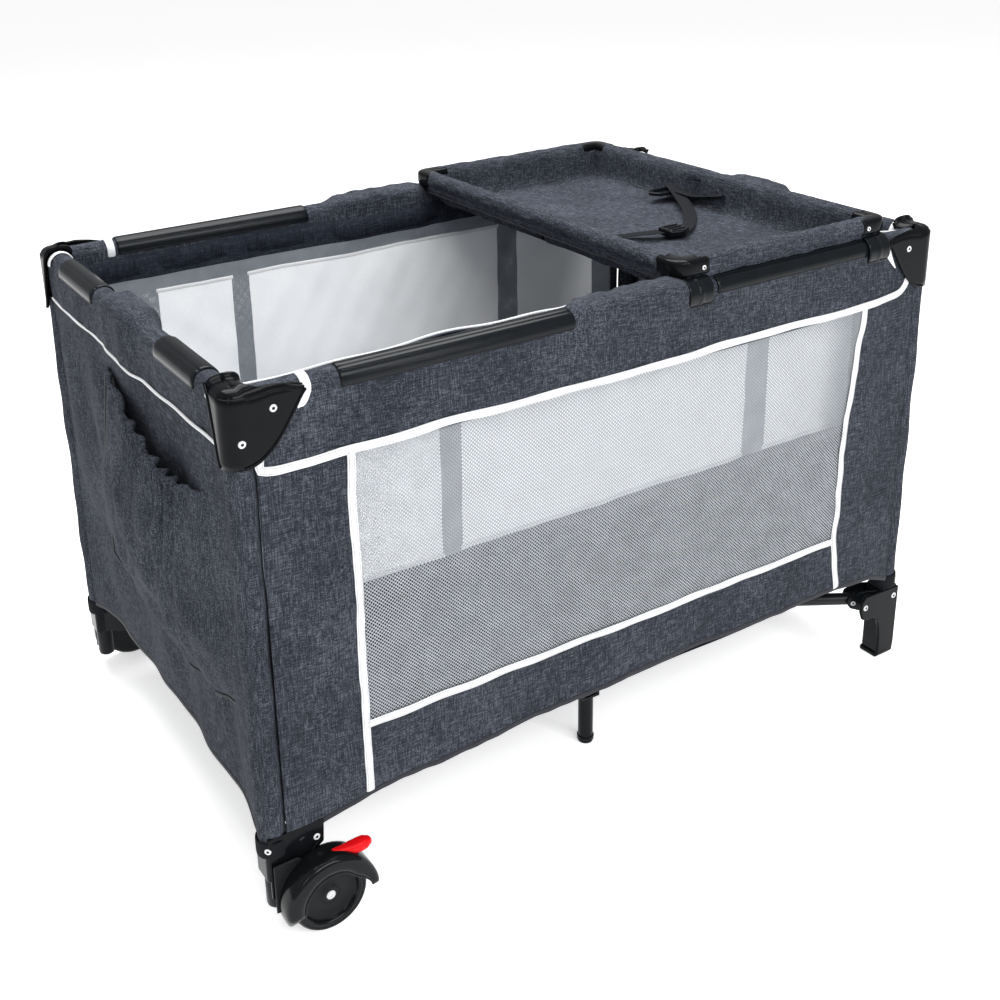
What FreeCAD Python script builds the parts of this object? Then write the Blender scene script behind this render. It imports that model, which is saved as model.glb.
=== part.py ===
import FreeCAD, Part
import math
import os
from FreeCAD import Placement, Rotation, Vector

# Travel play yard: four upright posts, folding top rails and floor arms, fabric walls, a bassinet
# insert with its mattress, and a changing tray that hooks over the top rails.
# Millimetres, +Z up, +X along the long side away from the wheels, -Y is the front.
# The origin is the bottom centre of the bounding box.

os.makedirs("parts", exist_ok=True)
doc = FreeCAD.newDocument("play_yard")
sheet = doc.addObject("Spreadsheet::Sheet", "dims")
rows = []
pieces = []


class Dim:
    """A length that carries its value and its formula on the sheet."""

    def __init__(self, value, text=None):
        self.value = float(value)
        self.text = text or repr(float(value))

    def __add__(self, other):
        other = dim(other)
        return Dim(self.value + other.value, "(" + self.text + " + " + other.text + ")")

    def __sub__(self, other):
        other = dim(other)
        return Dim(self.value - other.value, "(" + self.text + " - " + other.text + ")")

    def __mul__(self, factor):
        return Dim(self.value * factor, "(" + self.text + " * " + repr(float(factor)) + ")")

    def __radd__(self, other):
        return dim(other) + self

    def __rsub__(self, other):
        return dim(other) - self

    def __rmul__(self, factor):
        return self * factor

    def __neg__(self):
        return self * -1


def dim(x):
    return x if isinstance(x, Dim) else Dim(x)


def size(alias, value):
    """Writes one driving dimension on the sheet and returns it."""
    rows.append(alias)
    row = str(len(rows))
    sheet.set("A" + row, alias)
    sheet.set("B" + row, str(round(float(value), 6)))
    sheet.setAlias("B" + row, alias)
    return Dim(round(float(value), 6), "dims." + alias)


def bind(thing, prop, value):
    """Ties a property to its formula on the sheet."""
    thing.setExpression(prop, dim(value).text)


def move_to(thing, point):
    for axis, value in zip("xyz", point):
        bind(thing, "Placement.Base." + axis, value)
    return thing


def block(x, y, z):
    """A block between pairs of coordinates, in either order."""
    spans = [sorted((dim(a), dim(b)), key=lambda d: d.value) for a, b in (x, y, z)]
    thing = doc.addObject("Part::Box", "block")
    for prop, (low, high) in zip(("Length", "Width", "Height"), spans):
        bind(thing, prop, high - low)
    return move_to(thing, [low for low, high in spans])


TURN = {
    "x": Rotation(Vector(0, 1, 0), 90),
    "y": Rotation(Vector(1, 0, 0), -90),
    "z": Rotation(),
}


def rod(axis, span, other, radius):
    """A cylinder along an axis over a span; other holds its two other coordinates, in x, y, z order."""
    low, high = sorted((dim(span[0]), dim(span[1])), key=lambda d: d.value)
    base = list(other)
    base.insert("xyz".index(axis), low)
    thing = doc.addObject("Part::Cylinder", "rod")
    thing.Placement = Placement(Vector(), TURN[axis])
    bind(thing, "Radius", radius)
    bind(thing, "Height", high - low)
    return move_to(thing, base)


def join(*things):
    if len(things) == 1:
        return things[0]
    thing = doc.addObject("Part::MultiFuse", "join")
    thing.Shapes = list(things)
    return thing


def cut(base, *tools):
    thing = doc.addObject("Part::Cut", "cut")
    thing.Base = base
    thing.Tool = join(*tools)
    return thing


def group(*things):
    """Separate solids that make one piece."""
    thing = doc.addObject("Part::Compound", "group")
    thing.Links = list(things)
    return thing


def turned(thing, point, degrees):
    """Sets a joined or cut shape down at a point, turned about the upright axis."""
    thing.Placement = Placement(Vector(), Rotation(Vector(0, 0, 1), degrees))
    return move_to(thing, point)


def piece(name, thing):
    thing.Label = name
    pieces.append(thing)
    return thing


# ---- driving dimensions ----------------------------------------------------------------------
post_x = size("post_x", 555)
post_y = size("post_y", 340)
post_radius = size("post_radius", 11)
post_bore = size("post_bore", 9.6)
post_high = size("post_high", 740)
wheel_post_low = size("wheel_post_low", 38)
foot_post_low = size("foot_post_low", 62)
cap_half = size("cap_half", 20)
cap_low = size("cap_low", 654)
cap_high = size("cap_high", 756)
wing_reach = size("wing_reach", 70)
wing_high = size("wing_high", 752)
channel_half = size("channel_half", 14)
shell_half = size("shell_half", 18)
rail_z = size("rail_z", 728)
rail_radius = size("rail_radius", 12.5)
rail_bore = size("rail_bore", 10.8)
eye_radius = size("eye_radius", 12.2)
rail_pivot_x = size("rail_pivot_x", 46)
rail_pivot_y = size("rail_pivot_y", 36)
pin_radius = size("pin_radius", 3)
pin_hole = size("pin_hole", 3.05)
open_hole = size("open_hole", 3.6)
arm_z = size("arm_z", 100)
arm_radius = size("arm_radius", 10)
arm_bore = size("arm_bore", 8.6)
arm_eye_radius = size("arm_eye_radius", 9.7)
foot_pivot = size("foot_pivot", 50)
hub_pivot = size("hub_pivot", 60)
arm_channel = size("arm_channel", 11.5)
arm_shell = size("arm_shell", 15.5)

# The floor arms lie on the diagonals. Arms and rails turn through equal angles when the rails' half
# lengths are the arm's reach seen along X and along Y, so those lengths follow from the arm.
diagonal = math.hypot(post_x.value, post_y.value)
reach = diagonal - foot_pivot.value - hub_pivot.value
arm_reach = size("arm_reach", reach)
rail_long = size("rail_long", reach * post_x.value / diagonal)
rail_short = size("rail_short", reach * post_y.value / diagonal)
lock_x = size("lock_x", post_x.value - rail_pivot_x.value - rail_long.value)
lock_floor = size("lock_floor", 714.6)
lock_y = size("lock_y", post_y.value - rail_pivot_y.value - rail_short.value)

bracket_low = size("bracket_low", 60)
bracket_high = size("bracket_high", 125)
mid_leg_y = size("mid_leg_y", 258)
mid_leg_radius = size("mid_leg_radius", 11.5)
wheel_x = size("wheel_x", 499)
wheel_z = size("wheel_z", 52)
wheel_radius = size("wheel_radius", 52)
wheel_inner_y = size("wheel_inner_y", 365)
wheel_outer_y = size("wheel_outer_y", 387)
axle_radius = size("axle_radius", 5)
fender_radius = size("fender_radius", 59)
fender_bore = size("fender_bore", 55)
fender_outer_y = size("fender_outer_y", 390)
pedal_pivot_x = size("pedal_pivot_x", 534)
pedal_pivot_z = size("pedal_pivot_z", 108)
pedal_tip_x = size("pedal_tip_x", 425)
pedal_tip_z = size("pedal_tip_z", 124)

skirt_z = size("skirt_z", 165)
wall_high = size("wall_high", 699)
wall_y = size("wall_y", 351.5)
wall_x = size("wall_x", 549)
cloth = size("cloth", 2)
window_x = size("window_x", 425)
window_low = size("window_low", 267)
window_high = size("window_high", 640)
pocket_out = size("pocket_out", 575)
pocket_front = size("pocket_front", 295)
pocket_back = size("pocket_back", 200)
pocket_low = size("pocket_low", 285)
pocket_high = size("pocket_high", 520)
insert_low = size("insert_low", 430)
insert_high = size("insert_high", 697)
clip_start_x = size("clip_start_x", 118)
clip_end_x = size("clip_end_x", 455)
clip_start_y = size("clip_start_y", 108)
clip_end_y = size("clip_end_y", 242)
clip_bore = size("clip_bore", 12.9)
clip_radius = size("clip_radius", 17)
mattress_x = size("mattress_x", 514)
mattress_y = size("mattress_y", 308)
mattress_low = size("mattress_low", 420)
mattress_high = size("mattress_high", 446)
mattress_corner = size("mattress_corner", 60)
tray_tube_left = size("tray_tube_left", 92)
tray_tube_right = size("tray_tube_right", 470)
tray_tube_y = size("tray_tube_y", 335)
tray_tube_z = size("tray_tube_z", 762)
tray_tube_radius = size("tray_tube_radius", 9)
tray_low = size("tray_low", 706)
tray_high = size("tray_high", 758)
doc.recompute()

LEFT, RIGHT = -1, 1
FRONT, BACK = -1, 1
CORNERS = (
    ("front_left", LEFT, FRONT),
    ("front_right", RIGHT, FRONT),
    ("back_left", LEFT, BACK),
    ("back_right", RIGHT, BACK),
)


def along_x(side):
    """The turn that points a wing from its post towards the middle, along X."""
    return 0 if side == LEFT else 180


def along_y(side):
    return 90 if side == FRONT else -90


def towards_hub(side_x, side_y):
    """The turn that points an arm from its post to the hub, in degrees."""
    return math.degrees(math.atan2(-side_y * post_y.value, -side_x * post_x.value))


# ---- corner posts ----------------------------------------------------------------------------
def post(side_x, side_y):
    low = wheel_post_low if side_x == LEFT else foot_post_low
    at = (side_x * post_x, side_y * post_y)
    return cut(rod("z", (low, post_high), at, post_radius), rod("z", (low, post_high), at, post_bore))


# ---- corner caps: a socket on the post and two wings that the rails hinge in ----------------------
def cap_wing(pivot):
    """Two sector-shaped cheeks, a roof and the rail's pin, along +X from the post's axis."""
    cheeks = []
    for side in (-1, 1):
        cheeks.append(block((15, wing_reach), (side * channel_half, side * shell_half), (cap_low, wing_high)))
    below = doc.addObject("Part::Box", "below")
    below.Length = 120
    below.Width = 60
    below.Height = 80
    drop = Rotation(Vector(0, 1, 0), -57)
    start = drop.multVec(Vector(0, 0, -80))
    below.Placement = Placement(Vector(), drop)
    move_to(below, (start.x + 30, -30, cap_low + start.z))
    roof = block((15, wing_reach), (-1 * shell_half, shell_half), (744, wing_high))
    pin = rod("y", (-1 * shell_half, shell_half), (pivot, rail_z), pin_radius)
    return join(cut(join(*cheeks), below), roof, pin)


def cap(side_x, side_y):
    x, y = side_x * post_x, side_y * post_y
    core = cut(
        block((x - cap_half, x + cap_half), (y - cap_half, y + cap_half), (cap_low, cap_high)),
        rod("z", (cap_low, post_high), (x, y), post_radius),
    )
    wing_x = turned(cap_wing(rail_pivot_x), (x, y, 0), along_x(side_x))
    wing_y = turned(cap_wing(rail_pivot_y), (x, y, 0), along_y(side_y))
    return join(core, wing_x, wing_y)


# ---- top rails: each side is two tubes that fold down at the middle -------------------------------
def rail_along_x(side_x, side_y):
    outer, inner, y = side_x * (post_x - rail_pivot_x), side_x * lock_x, side_y * post_y
    tube = rod("x", (outer, inner), (y, rail_z), rail_radius)
    eyes = [rod("y", (y - 12, y + 12), (end, rail_z), eye_radius) for end in (outer, inner)]
    bore = rod("x", (outer + side_x * 20, inner - side_x * 20), (y, rail_z), rail_bore)
    hole = open_hole if side_x == RIGHT else pin_hole
    holes = [
        rod("y", (y - 14, y + 14), (outer, rail_z), pin_hole),
        rod("y", (y - 14, y + 14), (inner, rail_z), hole),
    ]
    return cut(join(tube, *eyes), bore, *holes)


def rail_along_y(side_x, side_y):
    outer, inner, x = side_y * (post_y - rail_pivot_y), side_y * lock_y, side_x * post_x
    tube = rod("y", (outer, inner), (x, rail_z), rail_radius)
    eyes = [rod("x", (x - 12, x + 12), (end, rail_z), eye_radius) for end in (outer, inner)]
    bore = rod("y", (outer + side_y * 20, inner - side_y * 20), (x, rail_z), rail_bore)
    hole = open_hole if side_y == BACK else pin_hole
    holes = [
        rod("x", (x - 14, x + 14), (outer, rail_z), pin_hole),
        rod("x", (x - 14, x + 14), (inner, rail_z), hole),
    ]
    return cut(join(tube, *eyes), bore, *holes)


# ---- rail locks: a tray under the two rail ends, open above so that they fold up beside it, with a push button below ------------------------
def lock_along_x(side_y):
    y, end, solid = side_y * post_y, lock_x + 16, lock_x - 16.5
    shell = block((-1 * end, end), (y - shell_half, y + shell_half), (712, 748))
    channel = block((-1 * end - 1, end + 1), (y - channel_half, y + channel_half), (lock_floor, 749))
    middle = block((-1 * solid, solid), (y - shell_half, y + shell_half), (712, 748))
    recess = block((-10, 10), (y - 9, y + 9), (711, 728))
    pins = [rod("y", (y - shell_half, y + shell_half), (s * lock_x, rail_z), pin_radius) for s in (-1, 1)]
    button = block((-9.6, 9.6), (y - 8.6, y + 8.6), (706, 721))
    return cut(join(cut(shell, channel), middle, *pins), recess), button


def lock_along_y(side_x):
    x, end, solid = side_x * post_x, lock_y + 16, lock_y - 14.5
    shell = block((x - shell_half, x + shell_half), (-1 * end, end), (712, 748))
    channel = block((x - channel_half, x + channel_half), (-1 * end - 1, end + 1), (lock_floor, 749))
    middle = block((x - shell_half, x + shell_half), (-1 * solid, solid), (712, 748))
    recess = block((x - 9, x + 9), (-4.4, 4.4), (711, 728))
    pins = [rod("x", (x - shell_half, x + shell_half), (s * lock_y, rail_z), pin_radius) for s in (-1, 1)]
    button = block((x - 8.6, x + 8.6), (-4, 4), (706, 721))
    return cut(join(cut(shell, channel), middle, *pins), recess), button


# ---- floor frame: brackets on the posts, diagonal arms and a hub ---------------------------------
def clevis(near, far, pivot, low, high, floor_low, floor_high):
    """Two cheeks, a plate across them and a pin, along +X."""
    cheeks = [block((near, far), (s * arm_channel, s * arm_shell), (low, high)) for s in (-1, 1)]
    plate = block((near, far), (-1 * arm_shell, arm_shell), (floor_low, floor_high))
    pin = rod("y", (-1 * arm_shell, arm_shell), (pivot, arm_z), pin_radius)
    return join(*cheeks, plate, pin)


def bracket_core(side_x, side_y):
    x, y = side_x * post_x, side_y * post_y
    core = block((x - cap_half, x + cap_half), (y - cap_half, y + cap_half), (bracket_low, bracket_high))
    low = bracket_low if side_x == LEFT else foot_post_low
    socket = rod("z", (low, bracket_high), (x, y), post_radius)
    wing = clevis(12, 66, foot_pivot, 82, 116, 82, 86)
    return join(cut(core, socket), turned(wing, (x, y, 0), towards_hub(side_x, side_y)))


def foot_bracket(side_x, side_y):
    x, y = side_x * post_x, side_y * post_y
    leg = rod("z", (6, bracket_low), (x, y), 13)
    pad = block((x - 20, x + 20), (y - 14, y + 14), (0, 8))
    return join(bracket_core(side_x, side_y), leg, pad)


def wheel_bracket(side_y):
    x = -1 * wheel_x
    plate_in, plate_out = side_y * 357, side_y * 361.5
    ring = cut(
        rod("y", (side_y * 360, side_y * fender_outer_y), (x, wheel_z), fender_radius),
        rod("y", (side_y * 361.5, side_y * (fender_outer_y + 1)), (x, wheel_z), fender_bore),
    )
    plate = rod("y", (plate_in, plate_out), (x, wheel_z), fender_radius)
    below = doc.addObject("Part::Box", "below")
    below.Length = 160
    below.Width = 60
    below.Height = 90
    tilt = Rotation(Vector(0, 1, 0), -15)
    corner = tilt.multVec(Vector(-80, 0, -90))
    below.Placement = Placement(Vector(), tilt)
    move_to(below, (x + corner.x, min(side_y * 345, side_y * 405), wheel_z + corner.z))
    slot = block((-546, -438), (side_y * 370, side_y * 382), (90, 125))
    boss = rod("y", (plate_in, plate_out), (x, wheel_z), 14)
    axle = rod("y", (plate_in, side_y * 391), (x, wheel_z), axle_radius)
    head = rod("y", (side_y * 388, side_y * 391), (x, wheel_z), 9)
    lugs = [
        block((-541, -527), (side_y * 366, side_y * 370), (98, 116)),
        block((-541, -527), (side_y * 382, side_y * 386), (98, 116)),
    ]
    pedal_pin = rod("y", (side_y * 366, side_y * 386), (-1 * pedal_pivot_x, pedal_pivot_z), 2.5)
    shroud = cut(join(ring, plate), below, slot)
    return join(bracket_core(LEFT, side_y), shroud, boss, axle, head, *lugs, pedal_pin)


def wheel(side_y):
    x = -1 * wheel_x
    tread = rod("y", (side_y * wheel_inner_y, side_y * wheel_outer_y), (x, wheel_z), wheel_radius)
    dish = rod("y", (side_y * 381, side_y * 388), (x, wheel_z), 34)
    boss = rod("y", (side_y * 375, side_y * 386), (x, wheel_z), 13)
    bore = rod("y", (side_y * 360, side_y * 390), (x, wheel_z), axle_radius + 0.06)
    return cut(join(cut(tread, dish), boss), bore)


def brake_pedal(side_y):
    across = (side_y * 371, side_y * 381)
    pivot = (-1 * pedal_pivot_x, pedal_pivot_z)
    run = pedal_pivot_x.value - pedal_tip_x.value
    rise = pedal_tip_z.value - pedal_pivot_z.value
    lever = doc.addObject("Part::Box", "lever")
    lever.Length = math.hypot(run, rise)
    lever.Width = 10
    lever.Height = 8
    lift = Rotation(Vector(0, 1, 0), -math.degrees(math.atan2(rise, run)))
    start = lift.multVec(Vector(0, 0, -4))
    lever.Placement = Placement(Vector(), lift)
    move_to(lever, (pivot[0] + start.x, min(across), pivot[1] + start.z))
    eye = rod("y", across, pivot, 7)
    tip = rod("y", across, (-1 * pedal_tip_x, pedal_tip_z), 8)
    return cut(join(lever, eye, tip), rod("y", (side_y * 370, side_y * 382), pivot, 2.56))


def arm(length):
    """A tube along +X with a round eye at each end, from one pivot at the origin to the other."""
    tube = rod("x", (0, length), (0, arm_z), arm_radius)
    eyes = [rod("y", (-9.5, 9.5), (end, arm_z), arm_eye_radius) for end in (0, length)]
    bore = rod("x", (-20, length + 20), (0, arm_z), arm_bore)
    holes = [rod("y", (-12, 12), (end, arm_z), pin_hole) for end in (0, length)]
    return cut(join(tube, *eyes), bore, *holes)


def diagonal_arm(side_x, side_y):
    angle = towards_hub(side_x, side_y)
    start_x = side_x * post_x + foot_pivot * math.cos(math.radians(angle))
    start_y = side_y * post_y + foot_pivot * math.sin(math.radians(angle))
    return turned(arm(arm_reach), (start_x, start_y, 0), angle)


def hub():
    body = rod("z", (86, 118), (0, 0), 42)
    wings = []
    for name, side_x, side_y in CORNERS:
        wing = clevis(30, 72, hub_pivot, 86, 118, 113, 118)
        wings.append(turned(wing, (0, 0, 0), towards_hub(-side_x, -side_y)))
    for side_y in (FRONT, BACK):
        wing = clevis(30, 72, hub_pivot, 86, 118, 113, 118)
        wings.append(turned(wing, (0, 0, 0), along_y(-side_y)))
    return join(body, *wings)


def cross_arm(side_y):
    return turned(arm(mid_leg_y - hub_pivot), (0, side_y * hub_pivot, 0), along_y(-side_y))


def mid_leg(side_y):
    leg = rod("z", (0, 84), (0, side_y * mid_leg_y), mid_leg_radius)
    collar = rod("z", (4, 10), (0, side_y * mid_leg_y), 13)
    head = turned(clevis(-14, 14, 0, 82, 116, 82, 86), (0, side_y * mid_leg_y, 0), 90)
    return join(leg, collar, head)


for corner, side_x, side_y in CORNERS:
    piece("post_" + corner, post(side_x, side_y))
    piece("cap_" + corner, cap(side_x, side_y))
    piece("long_rail_" + corner, rail_along_x(side_x, side_y))
    piece("short_rail_" + corner, rail_along_y(side_x, side_y))
    piece("arm_" + corner, diagonal_arm(side_x, side_y))

for side, side_y in (("front", FRONT), ("back", BACK)):
    housing, button = lock_along_x(side_y)
    piece("lock_" + side, housing)
    piece("button_" + side, button)
    piece("wheel_bracket_" + side, wheel_bracket(side_y))
    piece("wheel_" + side, wheel(side_y))
    piece("brake_pedal_" + side, brake_pedal(side_y))
    piece("foot_bracket_" + side, foot_bracket(RIGHT, side_y))
    piece("cross_arm_" + side, cross_arm(side_y))
    piece("mid_leg_" + side, mid_leg(side_y))

for side, side_x in (("left", LEFT), ("right", RIGHT)):
    housing, button = lock_along_y(side_x)
    piece("lock_" + side, housing)
    piece("button_" + side, button)

piece("hub", hub())


# ---- fabric: walls with mesh windows, the end pocket and the floor --------------------------------
for side, side_y in (("front", FRONT), ("back", BACK)):
    across = (side_y * wall_y, side_y * (wall_y + cloth))
    panel = block((-533, 533), across, (skirt_z, wall_high))
    gap = block((-1 * window_x, window_x), (side_y * 345, side_y * 360), (window_low, window_high))
    piece("wall_" + side, cut(panel, gap))
    net = (side_y * (wall_y + 0.5), side_y * (wall_y + 1.5))
    edge = window_x - 0.3
    piece("window_" + side, block((-1 * edge, edge), net, (window_low + 0.3, window_high - 0.3)))

for side, side_x in (("left", LEFT), ("right", RIGHT)):
    across = (side_x * wall_x, side_x * (wall_x + cloth))
    piece("wall_" + side, block(across, (-318, 318), (skirt_z, wall_high)))

pouch = block((-1 * pocket_out, -1 * (wall_x + cloth) - 0.3), (-1 * pocket_front, pocket_back), (pocket_low, pocket_high))
inside = block(
    (-1 * pocket_out + cloth, -540),
    (-1 * pocket_front + cloth, pocket_back - cloth),
    (pocket_low + cloth, pocket_high + 5),
)
piece("end_pocket", cut(pouch, inside))
piece("floor_panel", block((-530, 530), (-318, 318), (skirt_z - 6, skirt_z - 3)))


# ---- bassinet insert: four hanging panels, each with half-pipe clips over its rail ------------------
def clip_x(side_x, side_y):
    y = side_y * post_y
    span = (side_x * clip_start_x, side_x * clip_end_x)
    pipe = cut(rod("x", span, (y, rail_z), clip_radius), rod("x", span, (y, rail_z), clip_bore))
    return cut(pipe, block(span, (y - 20, y + 20), (700, rail_z)))


def clip_y(side_x, side_y):
    x = side_x * post_x
    span = (side_y * clip_start_y, side_y * clip_end_y)
    pipe = cut(rod("y", span, (x, rail_z), clip_radius), rod("y", span, (x, rail_z), clip_bore))
    return cut(pipe, block((x - 20, x + 20), span, (700, rail_z)))


for side, side_y in (("front", FRONT), ("back", BACK)):
    panel = block((-494, 494), (side_y * 323.5, side_y * 325.5), (insert_low, insert_high))
    piece("insert_" + side, group(panel, clip_x(LEFT, side_y), clip_x(RIGHT, side_y)))

for side, side_x in (("left", LEFT), ("right", RIGHT)):
    panel = block((side_x * 534.5, side_x * 536.5), (-279, 279), (insert_low, insert_high))
    piece("insert_" + side, group(panel, clip_y(side_x, FRONT), clip_y(side_x, BACK)))


# ---- mattress with rounded corners ---------------------------------------------------------------
flat = (mattress_low, mattress_high)
middle_x, middle_y = mattress_x - mattress_corner, mattress_y - mattress_corner
pads = [
    block((-1 * mattress_x, mattress_x), (-1 * middle_y, middle_y), flat),
    block((-1 * middle_x, middle_x), (-1 * mattress_y, mattress_y), flat),
]
for name, side_x, side_y in CORNERS:
    pads.append(rod("z", flat, (side_x * middle_x, side_y * middle_y), mattress_corner))
piece("mattress", join(*pads))


# ---- changing tray: four tubes in corner pieces that hook over the long rails -----------------------
def tray_tube(axis, span, other):
    return cut(rod(axis, span, other, tray_tube_radius), rod(axis, span, other, 7.8))


ends_x = (tray_tube_left + 14, tray_tube_right - 14)
ends_y = (-1 * tray_tube_y + 14, tray_tube_y - 14)
tubes = [tray_tube("y", ends_y, (x, tray_tube_z)) for x in (tray_tube_left, tray_tube_right)]
tubes += [tray_tube("x", ends_x, (s * tray_tube_y, tray_tube_z)) for s in (FRONT, BACK)]
piece("tray_frame", group(*tubes))

hooks = []
for x in (tray_tube_left, tray_tube_right):
    for s in (FRONT, BACK):
        y = s * tray_tube_y
        knuckle = block((x - 12, x + 14), (y - 14, y + 14), (751, 773))
        if x is tray_tube_right:
            knuckle = block((x - 14, x + 12), (y - 14, y + 14), (751, 773))
        bridge = block((x - 10, x + 10), (s * 345, s * 363), (762, 770))
        tongue = block((x - 10, x + 10), (s * 358.5, s * 363), (714, 770))
        hooks.append(join(knuckle, bridge, tongue))
piece("tray_hooks", group(*hooks))

outer = block((tray_tube_left + 9.5, tray_tube_right - 9.5), (-319.5, 319.5), (tray_low, tray_high))
inner = block((tray_tube_left + 12.5, tray_tube_right - 12.5), (-316.5, 316.5), (tray_low + 3, tray_high + 5))
piece("tray_cloth", cut(outer, inner))
piece("tray_strap", block((266, 296), (-200, 200), (tray_low + 3.3, tray_low + 5.3)))
piece("tray_buckle", block((262, 300), (-22, 22), (tray_low + 5.6, tray_low + 15)))


# ---- checks and export -----------------------------------------------------------------------------
doc.recompute()
for thing in doc.Objects:
    if "Invalid" in thing.State or "Error" in thing.State:
        raise RuntimeError("failed feature: " + thing.Label)
for thing in pieces:
    if thing.Shape.isNull() or not thing.Shape.isValid() or thing.Shape.Volume <= 0:
        raise RuntimeError("bad shape: " + thing.Label)
for thing in pieces:
    thing.Shape.exportStep("parts/" + thing.Label + ".step")
print(len(pieces), "pieces")
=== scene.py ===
import math

import bmesh
import bpy
import numpy as np
from mathutils import Matrix, Vector


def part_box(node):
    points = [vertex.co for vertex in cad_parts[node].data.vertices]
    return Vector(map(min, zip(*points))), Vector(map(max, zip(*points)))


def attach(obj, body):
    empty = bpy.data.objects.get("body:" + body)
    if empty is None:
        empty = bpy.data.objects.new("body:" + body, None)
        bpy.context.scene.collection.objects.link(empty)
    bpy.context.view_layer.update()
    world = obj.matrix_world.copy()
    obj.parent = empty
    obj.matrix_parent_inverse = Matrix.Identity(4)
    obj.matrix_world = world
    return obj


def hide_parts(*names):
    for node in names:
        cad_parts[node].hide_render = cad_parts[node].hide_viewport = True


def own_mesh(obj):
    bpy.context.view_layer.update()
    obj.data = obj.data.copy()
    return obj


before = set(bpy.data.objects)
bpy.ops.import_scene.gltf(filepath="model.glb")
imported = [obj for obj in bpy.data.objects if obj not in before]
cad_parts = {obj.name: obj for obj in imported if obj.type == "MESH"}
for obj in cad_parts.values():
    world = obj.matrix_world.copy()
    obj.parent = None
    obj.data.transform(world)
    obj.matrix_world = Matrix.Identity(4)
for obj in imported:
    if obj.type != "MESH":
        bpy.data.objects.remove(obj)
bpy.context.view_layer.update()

# Shapes are in mm from the middle of the yard at floor level; MM turns them into metres.
MM = 0.001
pi = math.pi
PX, PY = 555.0, 340.0  # corner post axes
RZ = 728.0  # rail height
COVER_R = 14.4  # padded cover round a rail
SADDLE_R = 15.4  # wall cloth where it passes over the cover
LONG_LOCK, END_LOCK = 66, 40  # half lengths over the rail locks
LONG_END, SHORT_END = 541, 327  # where the wall cloth stops beside the posts
WINDOW_X, WINDOW_LOW, WINDOW_HIGH = 425, 262, 643  # opening in a long wall
NET_Y = 360.2  # plane of the window nets
PIPING_Z = 673  # valance piping of the end walls


# ---------------------------------------------------------------- small maths
def smooth(a, b, t):
    t = np.clip((np.asarray(t, float) - a) / (b - a), 0, 1)
    return t * t * (3 - 2 * t)


def bump(t, centre, half):
    """1 at centre, 0 from half away, smooth between."""
    return 1 - smooth(0, half, abs(np.asarray(t, float) - centre))


def waves(u, v, seed, length, n=8):
    """Seeded smooth unevenness, about -1 to 1, with features about that long."""
    r = np.random.default_rng(seed)
    out = 0.0
    for _ in range(n):
        a, f, p = r.uniform(0, 2 * pi), 2 * pi / length * r.uniform(0.6, 1.5), r.uniform(0, 2 * pi)
        out = out + np.sin(f * (np.asarray(u) * math.cos(a) + np.asarray(v) * math.sin(a)) + p)
    return out / math.sqrt(n)


def cs(degrees):
    """Cosine and sine."""
    a = math.radians(degrees)
    return math.cos(a), math.sin(a)


def blunt(sides, power, w, h):
    """A rounded rectangle as a section: the lower the power, the squarer."""
    a = np.linspace(0, 2 * pi, sides, endpoint=False)
    c, s = np.cos(a), np.sin(a)
    return np.stack([np.sign(c) * abs(c) ** power * w, np.sign(s) * abs(s) ** power * h], 1)


def corner_tag(sx, sy):
    return f"{'front' if sy < 0 else 'back'}_{'left' if sx < 0 else 'right'}"


def curve(points, n):
    """n points on a smooth curve through these points."""
    p = np.asarray(points, float)
    t = np.concatenate([[0], np.cumsum(np.linalg.norm(np.diff(p, axis=0), axis=1))])
    ext = np.vstack([2 * p[0] - p[1], p, 2 * p[-1] - p[-2]])
    out = []
    for s in np.linspace(0, t[-1], n):
        i = min(np.searchsorted(t, s, side="right") - 1, len(p) - 2)
        w = (s - t[i]) / max(t[i + 1] - t[i], 1e-9)
        a, b, c, d = ext[i : i + 4]
        out.append(0.5 * (2 * b + (c - a) * w + (2 * a - 5 * b + 4 * c - d) * w**2 + (3 * b - a - 3 * c + d) * w**3))
    return np.array(out)


# ---------------------------------------------------------------- materials
def put(n, **values):
    """Sets a node's inputs and settings; an underscore stands for a space in an input's name."""
    for k, v in values.items():
        key = k.replace("_", " ")
        if key in n.inputs:
            n.inputs[key].default_value = v
        else:
            setattr(n, k, v)
    return n


def shader_of(m):
    return m.node_tree.nodes["Principled BSDF"]


def nodes_of(name):
    """A new material, its node tree, its shader and the piece's own coordinates."""
    m = bpy.data.materials.new(name)
    m.use_nodes = True
    t = m.node_tree
    return m, t, shader_of(m), t.nodes.new("ShaderNodeTexCoord").outputs["Object"]


def add(t, kind, **values):
    return put(t.nodes.new(kind), **values)


def noise(t, co, **values):
    n = add(t, "ShaderNodeTexNoise", **values)
    t.links.new(co, n.inputs["Vector"])
    return n.outputs[0]


def tint(colour, k):
    return tuple(min(1, x * k) for x in colour)


def ramp(t, source, stops, b):
    """Gives the shader its colour from a value."""
    n = t.nodes.new("ShaderNodeValToRGB")
    while len(n.color_ramp.elements) < len(stops):
        n.color_ramp.elements.new(0.5)
    for e, (at, c) in zip(n.color_ramp.elements, stops):
        e.position = at
        e.color = (*c, 1)
    t.links.new(source, n.inputs[0])
    t.links.new(n.outputs[0], b.inputs["Base Color"])


def relief(t, b, height, strength, distance):
    """Gives the shader its fine relief."""
    n = add(t, "ShaderNodeBump", Strength=strength, Distance=distance)
    t.links.new(height, n.inputs["Height"])
    t.links.new(n.outputs[0], b.inputs["Normal"])


def calc(t, op, *values):
    n = add(t, "ShaderNodeMath", operation=op)
    for k, v in enumerate(values):
        if isinstance(v, (int, float)):
            n.inputs[k].default_value = v
        else:
            t.links.new(v, n.inputs[k])
    return n.outputs[0]


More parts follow.
